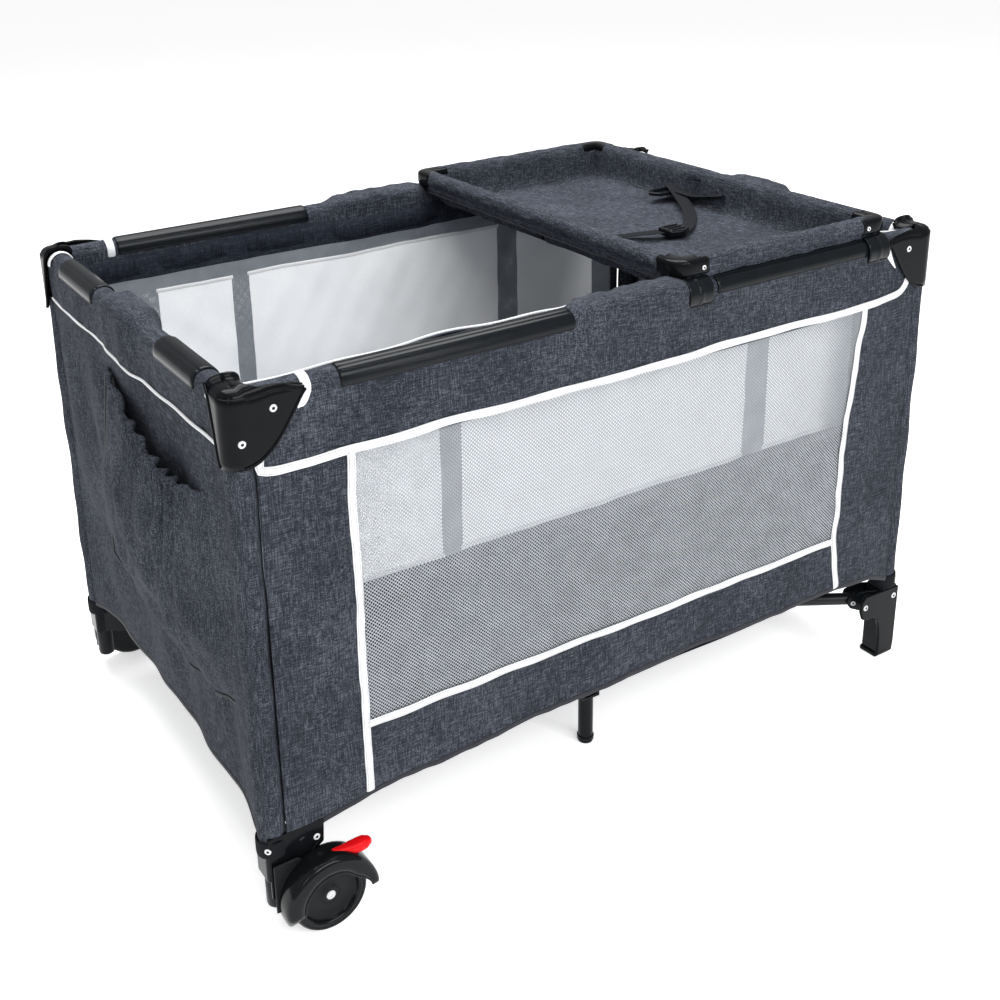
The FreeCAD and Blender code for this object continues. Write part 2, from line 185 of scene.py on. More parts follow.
def streaks(t, co, scale, seed):
    """Unevenness drawn out along one direction, as spun threads are."""
    m = add(t, "ShaderNodeMapping", Scale=scale, Location=(seed, seed * 1.7, seed * 0.6))
    t.links.new(co, m.inputs[0])
    return noise(t, m.outputs[0], Scale=1.0, Detail=2.0, Roughness=0.6)


def melange(name, dark, mid, light):
    """Two-tone woven cloth: short light and dark threads both ways, with large soft patches."""
    m, t, b, co = nodes_of(name)
    along, across = 55, 850
    x, y, z = (streaks(t, co, [along if k == i else across for k in range(3)], i + 1.0) for i in range(3))
    s = calc(t, "DIVIDE", calc(t, "ADD", calc(t, "ADD", x, y), z), 3.0)
    patches = calc(t, "MULTIPLY", calc(t, "SUBTRACT", noise(t, co, Scale=9.0, Detail=3.0), 0.5), 0.10)
    ramp(t, calc(t, "ADD", s, patches), [(0.36, dark), (0.50, mid), (0.60, light)], b)
    weave = noise(t, co, Scale=1300.0, Detail=1.0)
    relief(t, b, calc(t, "ADD", calc(t, "MULTIPLY", s, 1.6), calc(t, "MULTIPLY", weave, 0.5)), 0.35, 0.0012)
    put(b, Roughness=0.86, Sheen_Weight=0.0, Specular_IOR_Level=0.12)
    return m


def net(name, thread, hole, pitch):
    """Knitted net: staggered round holes that let the light through."""
    m, t, b, co = nodes_of(name)
    sep = t.nodes.new("ShaderNodeSeparateXYZ")
    t.links.new(co, sep.inputs[0])
    u, v = calc(t, "ADD", sep.outputs[0], sep.outputs[1]), sep.outputs[2]
    comb = t.nodes.new("ShaderNodeCombineXYZ")
    for k, op in enumerate(("ADD", "SUBTRACT")):
        t.links.new(calc(t, "MULTIPLY", calc(t, op, u, v), 1 / pitch), comb.inputs[k])
    vo = add(t, "ShaderNodeTexVoronoi", voronoi_dimensions="2D", Scale=1.0, Randomness=0.0)
    t.links.new(comb.outputs[0], vo.inputs["Vector"])
    away = vo.outputs["Distance"]
    t.links.new(calc(t, "SUBTRACT", 1.0, calc(t, "LESS_THAN", away, hole)), b.inputs["Alpha"])
    ramp(t, noise(t, co, Scale=40.0, Detail=4.0), [(0.3, tint(thread, 0.82)), (0.7, thread)], b)
    relief(t, b, away, 0.4, 0.0006)
    put(b, Roughness=0.8)
    return m


def cloth_plain(name, colour, grain=900.0, amount=0.12, strength=0.3, sheen=0.05):
    """Plain cloth or tape: a fine weave and a little soiling and unevenness."""
    m, t, b, co = nodes_of(name)
    weave, soil = noise(t, co, Scale=grain, Detail=2.0), noise(t, co, Scale=14.0, Detail=4.0)
    s = calc(t, "ADD", calc(t, "MULTIPLY", weave, 0.6), calc(t, "MULTIPLY", soil, 0.4))
    ramp(t, s, [(0.35, tint(colour, 1 - amount)), (0.65, tint(colour, 1 + amount * 0.4))], b)
    relief(t, b, weave, strength, 0.0008)
    put(b, Roughness=0.85, Sheen_Weight=sheen)
    return m


def plastic(name, colour, rough, grain=400.0, strength=0.05, scuff=0.06, spec=0.3):
    """Moulded plastic: fine texture, slight flow marks, uneven gloss."""
    m, t, b, co = nodes_of(name)
    marks = noise(t, co, Scale=22.0, Detail=5.0, Roughness=0.7)
    ramp(t, marks, [(0.3, tint(colour, 0.8)), (0.75, tint(colour, 1.15))], b)
    t.links.new(calc(t, "ADD", calc(t, "MULTIPLY", marks, scuff * 2), rough - scuff), b.inputs["Roughness"])
    relief(t, b, noise(t, co, Scale=grain, Detail=3.0), strength, 0.0005)
    put(b, Specular_IOR_Level=spec)
    return m


CLOTH = melange("charcoal_melange", (0.007, 0.0085, 0.012), (0.0235, 0.027, 0.036), (0.092, 0.101, 0.124))
# A darker copy of the wall cloth: painted shade for the cloth deep inside the yard.
CLOTH_SHADED = melange("charcoal_lining_painted_shade", (0.005, 0.007, 0.011), (0.014, 0.017, 0.026), (0.042, 0.048, 0.063))
BINDING = cloth_plain("dark_binding", (0.012, 0.014, 0.02))
NET = net("window_net", (0.40, 0.42, 0.45), 0.44, 0.0052)
NET_IN = net("insert_net", (0.24, 0.26, 0.29), 0.27, 0.0040)
WHITE = cloth_plain("white_panel_cloth", (0.93, 0.945, 0.955), grain=500.0, amount=0.05, sheen=0.0)
TAPE = cloth_plain("white_piping_tape", (0.74, 0.75, 0.765), grain=1200.0, amount=0.12, strength=0.6)
MATTRESS = melange("mattress_cloth", (0.03, 0.036, 0.05), (0.08, 0.092, 0.12), (0.18, 0.2, 0.235))
WEBBING = cloth_plain("black_webbing", (0.0055, 0.0065, 0.0085), grain=700.0, strength=0.7, sheen=0.0)
put(shader_of(WEBBING), Specular_IOR_Level=0.15)
GLOSS = plastic("gloss_black_plastic", (0.0040, 0.0046, 0.0056), 0.13, scuff=0.03, spec=0.08)
SATIN = plastic("satin_black_plastic", (0.0055, 0.0070, 0.0088), 0.21, strength=0.06, spec=0.13)
MATTE = plastic("matte_black_plastic", (0.008, 0.009, 0.0105), 0.5, strength=0.25, spec=0.15)
RED = plastic("red_plastic", (0.78, 0.006, 0.010), 0.3, spec=0.12)
RIVET = plastic("pale_rivet", (0.68, 0.69, 0.70), 0.35)
TYRE = plastic("wheel_plastic", (0.0055, 0.0065, 0.0075), 0.14, spec=0.15)
STEEL = plastic("painted_tube", (0.012, 0.013, 0.015), 0.38, grain=700.0, strength=0.08, scuff=0.05)
put(shader_of(STEEL), Metallic=0.25)
STITCH = cloth_plain("sewing_thread", (0.60, 0.61, 0.63), grain=2200.0, amount=0.25, strength=0.8)
# The slot name for each finish, which place() picks unless a piece names its own.
SLOT_OF = {
    CLOTH.name: "charcoal_cloth", CLOTH_SHADED.name: "charcoal_cloth", BINDING.name: "charcoal_cloth",
    NET.name: "mesh_net", TAPE.name: "white_panel", STITCH.name: "white_panel",
    MATTRESS.name: "mattress_cloth", WEBBING.name: "webbing", RED.name: "red_plastic",
    GLOSS.name: "black_plastic", SATIN.name: "black_plastic", MATTE.name: "black_plastic",
    TYRE.name: "wheel_plastic", STEEL.name: "painted_tube",
}
NO_SLOT = ""


# ---------------------------------------------------------------- mesh makers
def place(name, me, body, slot):
    """Puts a mesh into the scene with its body."""
    o = bpy.data.objects.new(name, me)
    bpy.context.scene.collection.objects.link(o)
    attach(o, body)
    slot = SLOT_OF[me.materials[0].name] if slot is None else slot
    return o


def make(name, verts, faces, body, mats, which=None, slot=None):
    me = bpy.data.meshes.new(name)
    v = np.asarray(verts, float) * MM
    me.from_pydata(v.tolist(), [], [tuple(int(i) for i in f) for f in faces])
    for m in mats if isinstance(mats, list) else [mats]:
        me.materials.append(m)
    if which is not None:
        me.polygons.foreach_set("material_index", list(which))
    me.polygons.foreach_set("use_smooth", [True] * len(me.polygons))
    bm = bmesh.new()
    bm.from_mesh(me)
    bmesh.ops.delete(bm, geom=[x for x in bm.verts if not x.link_faces], context="VERTS")
    bmesh.ops.recalc_face_normals(bm, faces=bm.faces)
    bm.to_mesh(me)
    bm.free()
    return place(name, me, body, slot)


def shell(name, P, body, mats, thick=1.2, keep=None, which=None, loop=False, slot=None):
    """A sheet from a grid of points, with its thickness and edges."""
    P = np.asarray(P, float)
    n, m = P.shape[:2]
    if loop:
        du = np.roll(P, -1, 0) - np.roll(P, 1, 0)
    else:
        du = np.gradient(P, axis=0)
    dv = np.gradient(P, axis=1)
    N = np.cross(du, dv)
    L = np.linalg.norm(N, axis=2, keepdims=True)
    N = N / np.maximum(L, 1e-9)
    A, B = P + N * (thick * 0.5), P - N * (thick * 0.5)
    verts = np.concatenate([A.reshape(-1, 3), B.reshape(-1, 3)])
    rows = n if loop else n - 1
    if keep is None:
        keep = np.ones((rows, m - 1), bool)
    faces, mat = [], []
    off = n * m

    def at(i, j):
        return (i % n) * m + j

    edges = {}
    for i in range(rows):
        for j in range(m - 1):
            if not keep[i, j]:
                continue
            q = [at(i, j), at(i + 1, j), at(i + 1, j + 1), at(i, j + 1)]
            faces.append(q)
            faces.append([x + off for x in reversed(q)])
            k = int(which[i, j]) if which is not None else 0
            mat += [k, k]
            for a, b in zip(q, q[1:] + q[:1]):
                if (b, a) in edges:
                    del edges[(b, a)]
                else:
                    edges[(a, b)] = k
    for (a, b), k in edges.items():
        faces.append([b, a, a + off, b + off])
        mat.append(k)
    return make(name, verts, faces, body, mats, which=mat, slot=slot)


def ring_section(r, sides):
    a = np.linspace(0, 2 * pi, sides, endpoint=False)
    return np.stack([np.cos(a) * r, np.sin(a) * r], 1)


def tape_section(w, t, sides=12):
    """A flat band with round edges."""
    a = np.linspace(0, 2 * pi, sides, endpoint=False) + pi / sides
    c, s = np.cos(a), np.sin(a)
    return np.stack([np.sign(c) * abs(c) ** 0.45 * w / 2, np.sign(s) * abs(s) ** 0.8 * t / 2], 1)


def sweep(name, path, section, body, mat, up=(0, 0, 1), closed=False, dome=0.0, scale=None, slot=None):
    """A section carried along a path. section's first value goes sideways, its second along up."""
    P = np.asarray(path, float)
    n = len(P)
    S = np.asarray(section, float)
    if closed:
        T = np.roll(P, -1, 0) - np.roll(P, 1, 0)
    else:
        T = np.gradient(P, axis=0)
    T = T / np.linalg.norm(T, axis=1, keepdims=True)
    up = np.broadcast_to(np.asarray(up, float), (n, 3))
    side = np.cross(T, up)
    side = side / np.maximum(np.linalg.norm(side, axis=1, keepdims=True), 1e-9)
    upv = np.cross(side, T)
    sc = np.ones(n) if scale is None else np.asarray(scale, float)
    rings = [P[i] + (S[:, :1] * side[i] + S[:, 1:] * upv[i]) * sc[i] for i in range(n)]
    if not closed and dome > 0:
        for th in (35, 65):
            c, s = cs(th)
            rings.insert(0, P[0] - T[0] * dome * s + (S[:, :1] * side[0] + S[:, 1:] * upv[0]) * c * sc[0])
            rings.append(P[-1] + T[-1] * dome * s + (S[:, :1] * side[-1] + S[:, 1:] * upv[-1]) * c * sc[-1])
    k = len(S)
    verts = np.concatenate(rings)
    faces = []
    R = len(rings)
    for i in range(R if closed else R - 1):
        for j in range(k):
            a, b = i * k + j, i * k + (j + 1) % k
            c, d = ((i + 1) % R) * k + (j + 1) % k, ((i + 1) % R) * k + j
            faces.append([a, b, c, d])
    if not closed:
        e0, e1 = P[0] - T[0] * dome, P[-1] + T[-1] * dome
        verts = np.vstack([verts, e0, e1])
        for j in range(k):
            faces.append([(j + 1) % k, j, len(verts) - 2])
            faces.append([(R - 1) * k + j, (R - 1) * k + (j + 1) % k, len(verts) - 1])
    return make(name, verts, faces, body, mat, slot=slot)


def tube(name, path, r, body, mat, sides=14, **kw):
    return sweep(name, path, ring_section(r, sides), body, mat, **kw)


def lathe(name, profile, centre, axis, body, mats, n=72, which=None, slot=None):
    """A turned shape: profile is (radius, height) pairs, height along axis from centre."""
    axis = np.asarray(axis, float)
    axis = axis / np.linalg.norm(axis)
    h = np.array([0, 0, 1.0]) if abs(axis[2]) < 0.9 else np.array([1.0, 0, 0])
    e1 = np.cross(axis, h); e1 /= np.linalg.norm(e1)
    e2 = np.cross(axis, e1)
    a = np.linspace(0, 2 * pi, n, endpoint=False)
    verts, idx = [], []
    for r, z in profile:
        if r < 1e-6:
            idx.append([len(verts)])
            verts.append(np.asarray(centre, float) + axis * z)
        else:
            idx.append(list(range(len(verts), len(verts) + n)))
            verts += [np.asarray(centre, float) + axis * z + r * (math.cos(x) * e1 + math.sin(x) * e2) for x in a]
    faces, mat = [], []
    for k in range(len(profile) - 1):
        p, q = idx[k], idx[k + 1]
        for j in range(n):
            j2 = (j + 1) % n
            if len(p) == 1:
                faces.append([p[0], q[j], q[j2]])
            elif len(q) == 1:
                faces.append([p[j], p[j2], q[0]])
            else:
                faces.append([p[j], p[j2], q[j2], q[j]])
            mat.append(which[k] if which else 0)
    return make(name, verts, faces, body, mats, which=mat, slot=slot)


def plate(name, outline, low, high, axis, body, mat, bevel, segments=3, slot=None):
    """A flat plate from an outline in the two other axes, with rounded edges. axis is 0, 1 or 2."""
    bm = bmesh.new()
    other = [k for k in range(3) if k != axis]
    ring = []
    for p in outline:
        v = [0.0, 0.0, 0.0]
        v[other[0]], v[other[1]], v[axis] = p[0] * MM, p[1] * MM, low * MM
        ring.append(bm.verts.new(v))
    f = bm.faces.new(ring)
    out = bmesh.ops.extrude_face_region(bm, geom=[f])
    shift = [0.0, 0.0, 0.0]
    shift[axis] = (high - low) * MM
    bmesh.ops.translate(bm, verts=[x for x in out["geom"] if isinstance(x, bmesh.types.BMVert)], vec=shift)
    bmesh.ops.recalc_face_normals(bm, faces=bm.faces)
    sharp = [e for e in bm.edges if e.calc_face_angle(0) > math.radians(40)]
    bmesh.ops.bevel(
        bm, geom=sharp, offset=bevel * MM, segments=segments, profile=0.5, affect="EDGES", clamp_overlap=True
    )
    me = bpy.data.meshes.new(name)
    bm.to_mesh(me)
    bm.free()
    me.materials.append(mat)
    me.polygons.foreach_set("use_smooth", [True] * len(me.polygons))
    o = place(name, me, body, slot)
    o.modifiers.new("normals", "WEIGHTED_NORMAL").keep_sharp = True
    return o


def pad(name, low, high, bevel, body, mat):
    """A moulded block with rounded edges."""
    (x0, y0, z0), (x1, y1, z1) = low, high
    plate(name, [(x0, y0), (x1, y0), (x1, y1), (x0, y1)], z0, z1, 2, body, mat, bevel=bevel, segments=4)


def rivet(name, centre, axis, r, body, middle=SATIN):
    """A tubular rivet: a pale domed ring round a dark hollow."""
    prof = [(0, 0.3), (r * 0.34, 0.35), (r * 0.42, 0.9), (r * 0.6, 1.35), (r * 0.82, 1.15), (r, 0.3), (r, -1.5)]
    lathe(name, prof, centre, axis, body, [middle, RIVET], n=28, which=[0, 0, 1, 1, 1, 1], slot=NO_SLOT)


def long_squash(o):
    """Gives a front or back piece its own copy of its mesh."""
    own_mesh(o)


def short_squash(o):
    """Gives an end piece its own copy of its mesh."""
    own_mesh(o)


# ---------------------------------------------------------------- camera, light, floor
def camera():
    az, el, ro = math.radians(-31.69), math.radians(19.87), math.radians(-1.45)
    fwd = Vector((-math.sin(az) * math.cos(el), math.cos(az) * math.cos(el), -math.sin(el)))
    r = fwd.cross(Vector((0, 0, 1))).normalized()
    u = r.cross(fwd)
    x = r * math.cos(ro) + u * math.sin(ro)
    y = -r * math.sin(ro) + u * math.cos(ro)
    cam = bpy.data.cameras.new("camera")
    cam.sensor_fit = "HORIZONTAL"
    cam.sensor_width = 36.0
    cam.lens = 36.0 * 1324.0 / 1000.0
    cam.shift_x, cam.shift_y = 0.04, -0.17
    cam.clip_start, cam.clip_end = 0.05, 60
    o = bpy.data.objects.new("camera", cam)
    bpy.context.scene.collection.objects.link(o)
    m = Matrix((x, y, -fwd)).transposed().to_4x4()
    m.translation = Vector((-1.0473, -1.6168, 1.2927))
    o.matrix_world = m
    bpy.context.scene.camera = o


def light(name, at, look, size, power):
    d = bpy.data.lights.new(name, "AREA")
    d.shape = "RECTANGLE"
    d.size, d.size_y = size
    d.energy = power
    o = bpy.data.objects.new(name, d)
    bpy.context.scene.collection.objects.link(o)
    o.location = at
    o.rotation_mode = "QUATERNION"
    o.rotation_quaternion = (Vector(look) - Vector(at)).to_track_quat("-Z", "Y")


def studio():
    sc = bpy.context.scene
    sc.view_settings.view_transform = "Standard"
    w = bpy.data.worlds.new("studio")
    sc.world = w
    w.use_nodes = True
    w.node_tree.nodes["Background"].inputs[0].default_value = (1, 1, 1, 1)
    w.node_tree.nodes["Background"].inputs[1].default_value = 0.42
    for name, at, look, size, power in (
        ("key", (-0.1, -3.3, 2.8), (0, 0, 0.4), (3.0, 1.2), 88),
        ("top", (0.2, 0.9, 3.4), (0, 0, 0.5), (3.2, 2.2), 178),
        ("side", (-3.2, 0.2, 2.4), (-0.4, 0, 0.5), (1.0, 2.0), 3),
        ("strip_over", (-0.3, -0.9, 2.6), (0, 0, 0.6), (2.4, 0.04), 10),
        ("strip_left", (-2.1, -1.7, 1.7), (-0.4, -0.2, 0.4), (0.035, 1.6), 5),
        ("strip_front", (0.9, -2.6, 1.5), (0, 0, 0.4), (0.04, 1.6), 7),
    ):
        light(name, at, look, size, power)
    m, t, b, co = nodes_of("pale_floor")
    ramp(t, noise(t, co, Scale=3.0, Detail=2.0), [(0.2, (0.93, 0.93, 0.935)), (0.8, (0.95, 0.95, 0.955))], b)
    put(b, Roughness=0.9, Specular_IOR_Level=0.1, Emission_Color=(1, 1, 1, 1), Emission_Strength=0.55)
    me = bpy.data.meshes.new("floor")
    s = 30.0
    me.from_pydata([(-s, -s, 0), (s, -s, 0), (s, s, 0), (-s, s, 0)], [], [(0, 1, 2, 3)])
    me.materials.append(m)
    o = bpy.data.objects.new("floor", me)
    sc.collection.objects.link(o)


camera()
studio()


# ---------------------------------------------------------------- long walls (front and back)
def bottom_z(x):
    """Height of the skirt's lower edge along the long walls."""
    return np.interp(
        x, [-541, -520, -490, -425, -200, 0, 250, 425, 500, 541], [127, 134, 146, 161, 172, 177, 178, 176, 168, 150]
    )


def right_tape_x(z):
    return np.interp(z, [160, 190, 267, 350, 450, 560, 640], [424, 414, 404, 405, 410, 421, 432])


def near_lock(u, half):
    """1 over the rail lock, 0 away from it."""
    return 1 - smooth(half, half + 42, abs(np.asarray(u, float)))


def saddle_profile(x, lock):
    """Cloth over a rail, from the inner edge over the top to the valance, swollen over the lock.

    Gives (outwards, height) from the rail axis."""
    near = float(near_lock(x, lock))
    rx, rz, k = SADDLE_R + 9.0 * near, SADDLE_R + 8.4 * near, 1 - 0.5 * near
    inner = [(-rx, z) for z in (-38, -30, -20, -10)]
    turns = [(math.cos(a), math.sin(a)) for a in np.linspace(0, pi, 17)]
    return inner + [(-rx * math.copysign(abs(c) ** k, c), rz * d**k) for c, d in turns]


def warp_x(x, z):
    """Moves the window's right edge to the wavy line of its tape."""
    x = np.asarray(x, float)
    rt = WINDOW_X + (right_tape_x(z) - WINDOW_X) * (1 - smooth(640, 660, z))
    beyond = rt + (x - WINDOW_X) * (LONG_END - rt) / (LONG_END - WINDOW_X)
    return np.where(x <= 0, x, np.where(x <= WINDOW_X, x * rt / WINDOW_X, beyond))


def wall_y(x, z, seed):
    """Distance of the hanging cloth of a long wall from the middle plane, below the rail."""
    x, z = np.asarray(x, float), np.asarray(z, float)
    w = smooth(RZ, 640, z)
    y = (PY + SADDLE_R + 8.8 * near_lock(x, LONG_LOCK)) * (1 - w) + (360.6 - 4.0 * smooth(445, 500, abs(x))) * w
    edge = 1 - smooth(500, LONG_END, abs(x))
    val = smooth(640, 665, z) * (1 - smooth(735, 742, z))
    mid = bump(x, 40, 150) + 0.6 * bump(x, -455, 60) + 0.3
    y = y + val * edge * (1.8 * waves(x, z * 0.6, seed, 95) + 1.9 * mid * waves(x + 0.5 * z, z * 0.3, seed + 1, 46))
    amp = np.maximum(1 - smooth(225, 262, z), smooth(425, 460, abs(x))) * edge * (1 - smooth(600, 645, z))
    big, small = 2.2 * waves(x, z * 0.35, seed + 4, 210), 1.1 * waves(x * 0.7, z, seed + 5, 95)
    return y + amp * (big + small + 0.5 * waves(x, z, seed + 8, 40))


def long_wall(side):
    tag = "front" if side < 0 else "back"
    body = "corner_front_left" if side < 0 else "corner_back_left"
    seed = 10 if side < 0 else 20
    xs = np.unique(np.concatenate([np.linspace(-LONG_END, LONG_END, 150), [-WINDOW_X, WINDOW_X]]))
    rows = []
    for x in xs:
        spans = ((720, 650, 9), (640, 267, 34), (255, float(bottom_z(x)), 12))
        hanging = np.concatenate([np.linspace(*span) for span in spans])
        rows.append([(PY + a, RZ + b) for a, b in saddle_profile(x, LONG_LOCK)] + [(0.0, z) for z in hanging])
    G = np.array(rows)
    m = G.shape[1]
    k = m - len(hanging)
    X = np.repeat(xs[:, None], m, 1)
    Y, Z = G[:, :, 0].copy(), G[:, :, 1].copy()
    X[:, k:] = warp_x(X[:, k:], Z[:, k:])
    Y[:, k:] = wall_y(X[:, k:], Z[:, k:], seed)
    edge = 1 - smooth(500, LONG_END, abs(X))
    top = smooth(738, 746, Z)
    Z = Z + top * edge * (0.8 * waves(X, Y, seed + 2, 60) + 1.3 * bump(X, 0, 120) * waves(X, Y * 2, seed + 3, 34))
    P = np.stack([X, side * Y, Z], 2)
    hem = P[:, -1].copy()
    cx = (xs[:-1] + xs[1:]) / 2
    zc = (P[:-1, :-1, 2] + P[:-1, 1:, 2]) / 2
    col = np.arange(m - 1)[None, :]
    keep = ~((abs(cx)[:, None] < WINDOW_X) & (zc > WINDOW_LOW) & (zc < WINDOW_HIGH) & (col >= k))
    if side > 0:
        P, keep = P[:, ::-1], keep[:, ::-1]
    o = shell(f"wall_cloth_{tag}", P, body, [CLOTH], thick=1.6, keep=keep)
    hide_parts(f"wall_{tag}")
    long_squash(o)
    # the net is sewn in behind the edges of the window
    X, Z = np.meshgrid(np.linspace(-430, 430, 70), np.linspace(WINDOW_LOW, 648, 34), indexing="ij")
    Y = NET_Y + 0.5 * waves(X, Z, seed + 6, 260) + 0.2 * waves(X, Z, seed + 7, 90)
    o = shell(f"window_net_{tag}", np.stack([warp_x(X, Z), side * Y, Z], 2), body, [NET], thick=0.5)
    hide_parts(f"window_{tag}")
    long_squash(o)

    def tape(name, pts, n=90, wob=0.5):
        """A sewn tape lying on the cloth, a little uneven, with its two lines of stitching."""
        w = 11.0
        p = curve(pts, n)
        t = np.linspace(0, 1, n) * 400
        x = p[:, 0] + wob * waves(t, 0 * t, seed + 30, 60)
        z = p[:, 1] + wob * waves(t, 0 * t, seed + 31, 60)
        y = np.maximum(wall_y(x, z, seed), NET_Y * (abs(x) < 440)) + 1.7
        q = np.stack([x, side * y, z], 1)
        sc = 1 + 0.05 * waves(t, 0 * t, seed + 32, 30)
        long_squash(sweep(name, q, tape_section(w, 2.0), body, TAPE, up=(0, side, 0), dome=1.0, scale=sc))
        T = np.gradient(q, axis=0)
        T /= np.linalg.norm(T, axis=1, keepdims=True)
        across = np.cross(T, np.array([0, side, 0.0]))
        for e, d in (("a", 0.3 * w), ("b", -0.3 * w)):
            line = q + across * d + np.array([0, side * 1.0, 0])
            long_squash(tube(f"{name}_stitch_{e}", line, 0.5, body, STITCH, sides=5))

    tape(f"tape_left_{tag}", [(-425, 643), (-427, 560), (-424, 450), (-426, 360), (-425, 267), (-424, 166)])
    tape(
        f"tape_right_{tag}",
        [(right_tape_x(z), z) for z in (646, 600, 560, 500, 450, 400, 350, 310, 267, 230, 200, 180)], wob=1.6
    )
    tape(f"tape_bottom_{tag}", [(-425, 264), (-200, 265), (0, 264), (220, 265), (404, 265)], wob=0.8)
    tape(
        f"tape_valance_{tag}",
        [
            (-532, 678), (-536, 662), (-538, 650), (-530, 644), (-480, 643), (-300, 646), (-100, 644), (60, 645),
            (220, 648), (400, 647), (480, 648), (506, 651), (518, 660), (526, 676)
        ],
        n=200, wob=0.9
    )
    # dark binding on the lower edge
    long_squash(sweep(f"hem_{tag}", hem, tape_section(3.4, 8.0), body, BINDING, up=(0, 0, 1), dome=1.0))
    # pale piping along the inner edge of the padded rail
    pts = []
    for u in np.linspace(-540, 535, 130):
        nl = float(near_lock(u, LONG_LOCK))
        dip = 3.5 * math.sin(u / 55) + 2.5 * math.sin(u / 23 + 1)
        z = (741.5 if side < 0 else 719) - 3 * nl + 0.7 * dip * (1 - 0.6 * nl) - 4 * abs(u / 540) ** 12
        pts.append((u, side * (322.4 - 9.6 * nl + 0.12 * dip), z))
    if side < 0:
        long_squash(sweep(f"inner_piping_{tag}", pts, tape_section(2.4, 4.2), body, TAPE, up=(0, 0, 1), dome=1.0))
    # facing that hangs down behind it, in the darker cloth with painted shade
    drop = ((9.0, 1.0), (4, 0.5), (0, -2), (-0.5, -14), (-0.5, -32))
    rows = np.array([[(x, y + side * out, z + up) for out, up in drop] for x, y, z in pts])
    o = shell(f"inner_facing_{tag}", rows if side < 0 else rows[:, ::-1], body, [CLOTH_SHADED], thick=1.2)
    long_squash(o)


long_wall(-1)
long_wall(1)


# ---------------------------------------------------------------- short walls (left and right ends)
def end_bottom(y):
    return np.interp(y, [-327, -290, -150, 0, 150, 290, 327], [142, 150, 158, 160, 158, 150, 142])


def end_x(y, z, top):
    """Distance of an end wall from the middle plane, where it leaves the rail at top."""
    w, corner = smooth(RZ, 600, z), smooth(240, SHORT_END, abs(y))
    return top * (1 - w) + (556.0 + 10.0 * corner + 14.5 * (1 - corner) * smooth(300, 430, z)) * w


def short_wall(side):
    tag = "left" if side < 0 else "right"
    body = "corner_front_left" if side < 0 else "corner_front_right"
    seed = 30 if side < 0 else 40
    ys = np.linspace(-SHORT_END, SHORT_END, 96)
    rows = []
    for y in ys:
        pts = [(PX + a, RZ + b) for a, b in saddle_profile(y, END_LOCK)]
        top = pts[-1][0]
        for z in np.concatenate([np.linspace(720, 660, 8), np.linspace(650, float(end_bottom(y)), 50)]):
            pts.append((end_x(y, z, top), z))
        rows.append(pts)
    G = np.array(rows)
    m = G.shape[1]
    Y = np.repeat(ys[:, None], m, 1)
    X, Z = G[:, :, 0], G[:, :, 1]
    edge = 1 - smooth(290, SHORT_END, abs(Y))
    val = smooth(640, 690, Z) * (1 - smooth(735, 742, Z))
    pucker = 1.5 * bump(Y, 0, 110) * waves(Y + 0.4 * Z, Z * 0.3, seed + 1, 40)
    X = X + val * edge * (1.4 * waves(Y, Z * 0.6, seed, 80) + pucker)
    top = smooth(738, 746, Z)
    Z = Z + top * edge * (0.8 * waves(Y, X, seed + 2, 50) + 1.4 * bump(Y, 0, 90) * waves(Y, X * 2, seed + 3, 30))
    body_w = (1 - smooth(600, 660, Z)) * edge
    X = X + body_w * (3.0 * waves(Y, Z * 0.3, seed + 4, 190) + 1.3 * waves(Y * 0.8, Z, seed + 5, 90))
    P = np.stack([side * X, Y, Z], 2)
    hem = P[:, -1].copy()
    if side < 0:
        P = P[:, ::-1]
    o = shell(f"wall_cloth_{tag}", P, body, [CLOTH], thick=1.6)
    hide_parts(f"wall_{tag}")
    short_squash(o)
    # thin valance piping
    pts = []
    for y in np.linspace(-323, 323, 80):
        x = end_x(y, PIPING_Z, PX + SADDLE_R + 8.8 * near_lock(y, END_LOCK)) + 1.6
        pts.append((side * x, y, PIPING_Z + 1.6 * math.sin(y / 50) + 0.8 * math.sin(y / 17)))
    short_squash(tube(f"piping_{tag}", pts, 1.9, body, TAPE, sides=10, dome=2.0))
    short_squash(sweep(f"hem_{tag}", hem, tape_section(3.4, 8.0), body, BINDING, up=(0, 0, 1), dome=1.0))


short_wall(-1)
short_wall(1)


# ---------------------------------------------------------------- post sleeves
def sleeve(sx, sy):
    tag = corner_tag(sx, sy)
    body = f"corner_{tag}"
    low = 121 if sx < 0 else 130
    zs = np.linspace(low, 668, 60)
    th = np.linspace(0, 2 * pi, 40, endpoint=False)
    Z, T = np.meshgrid(zs, th, indexing="ij")
    seed = 50 + int(sx + 3 * sy)
    r = 17.4 + 0.6 * waves(Z, T * 18, seed, 120) + 0.5 * waves(Z * 0.3, T * 18, seed + 5, 30)
    P = np.stack([sx * PX + r * np.cos(T), sy * PY + r * np.sin(T), Z], 2).transpose(1, 0, 2)
    o = shell(f"sleeve_{tag}", P, body, [CLOTH], thick=1.6, loop=True)
    a = math.atan2(sy * 0.35, sx)
    pts = [(sx * PX + 18.4 * math.cos(a), sy * PY + 18.4 * math.sin(a), z) for z in np.linspace(low + 4, 660, 30)]
    tube(f"seam_{tag}", pts, 0.9, body, BINDING, sides=6)
    # webbing strap round the foot of the sleeve, riveted
    zc = low + 11
    turns = np.linspace(0, 2 * pi, 60, endpoint=False)
    pts = [(sx * PX + 19.6 * math.cos(t), sy * PY + 19.6 * math.sin(t), zc) for t in turns]
    sweep(f"sleeve_strap_{tag}", pts, tape_section(2.4, 24.0), body, WEBBING, up=(0, 0, 1), closed=True)
    dx, dy = sx * 0.62, sy * 0.78
    rivet(f"sleeve_rivet_{tag}", (sx * PX + 20.6 * dx, sy * PY + 20.6 * dy, zc + 1), (dx, dy, 0), 4.4, body)


for sx in (-1, 1):
    for sy in (-1, 1):
        sleeve(sx, sy)


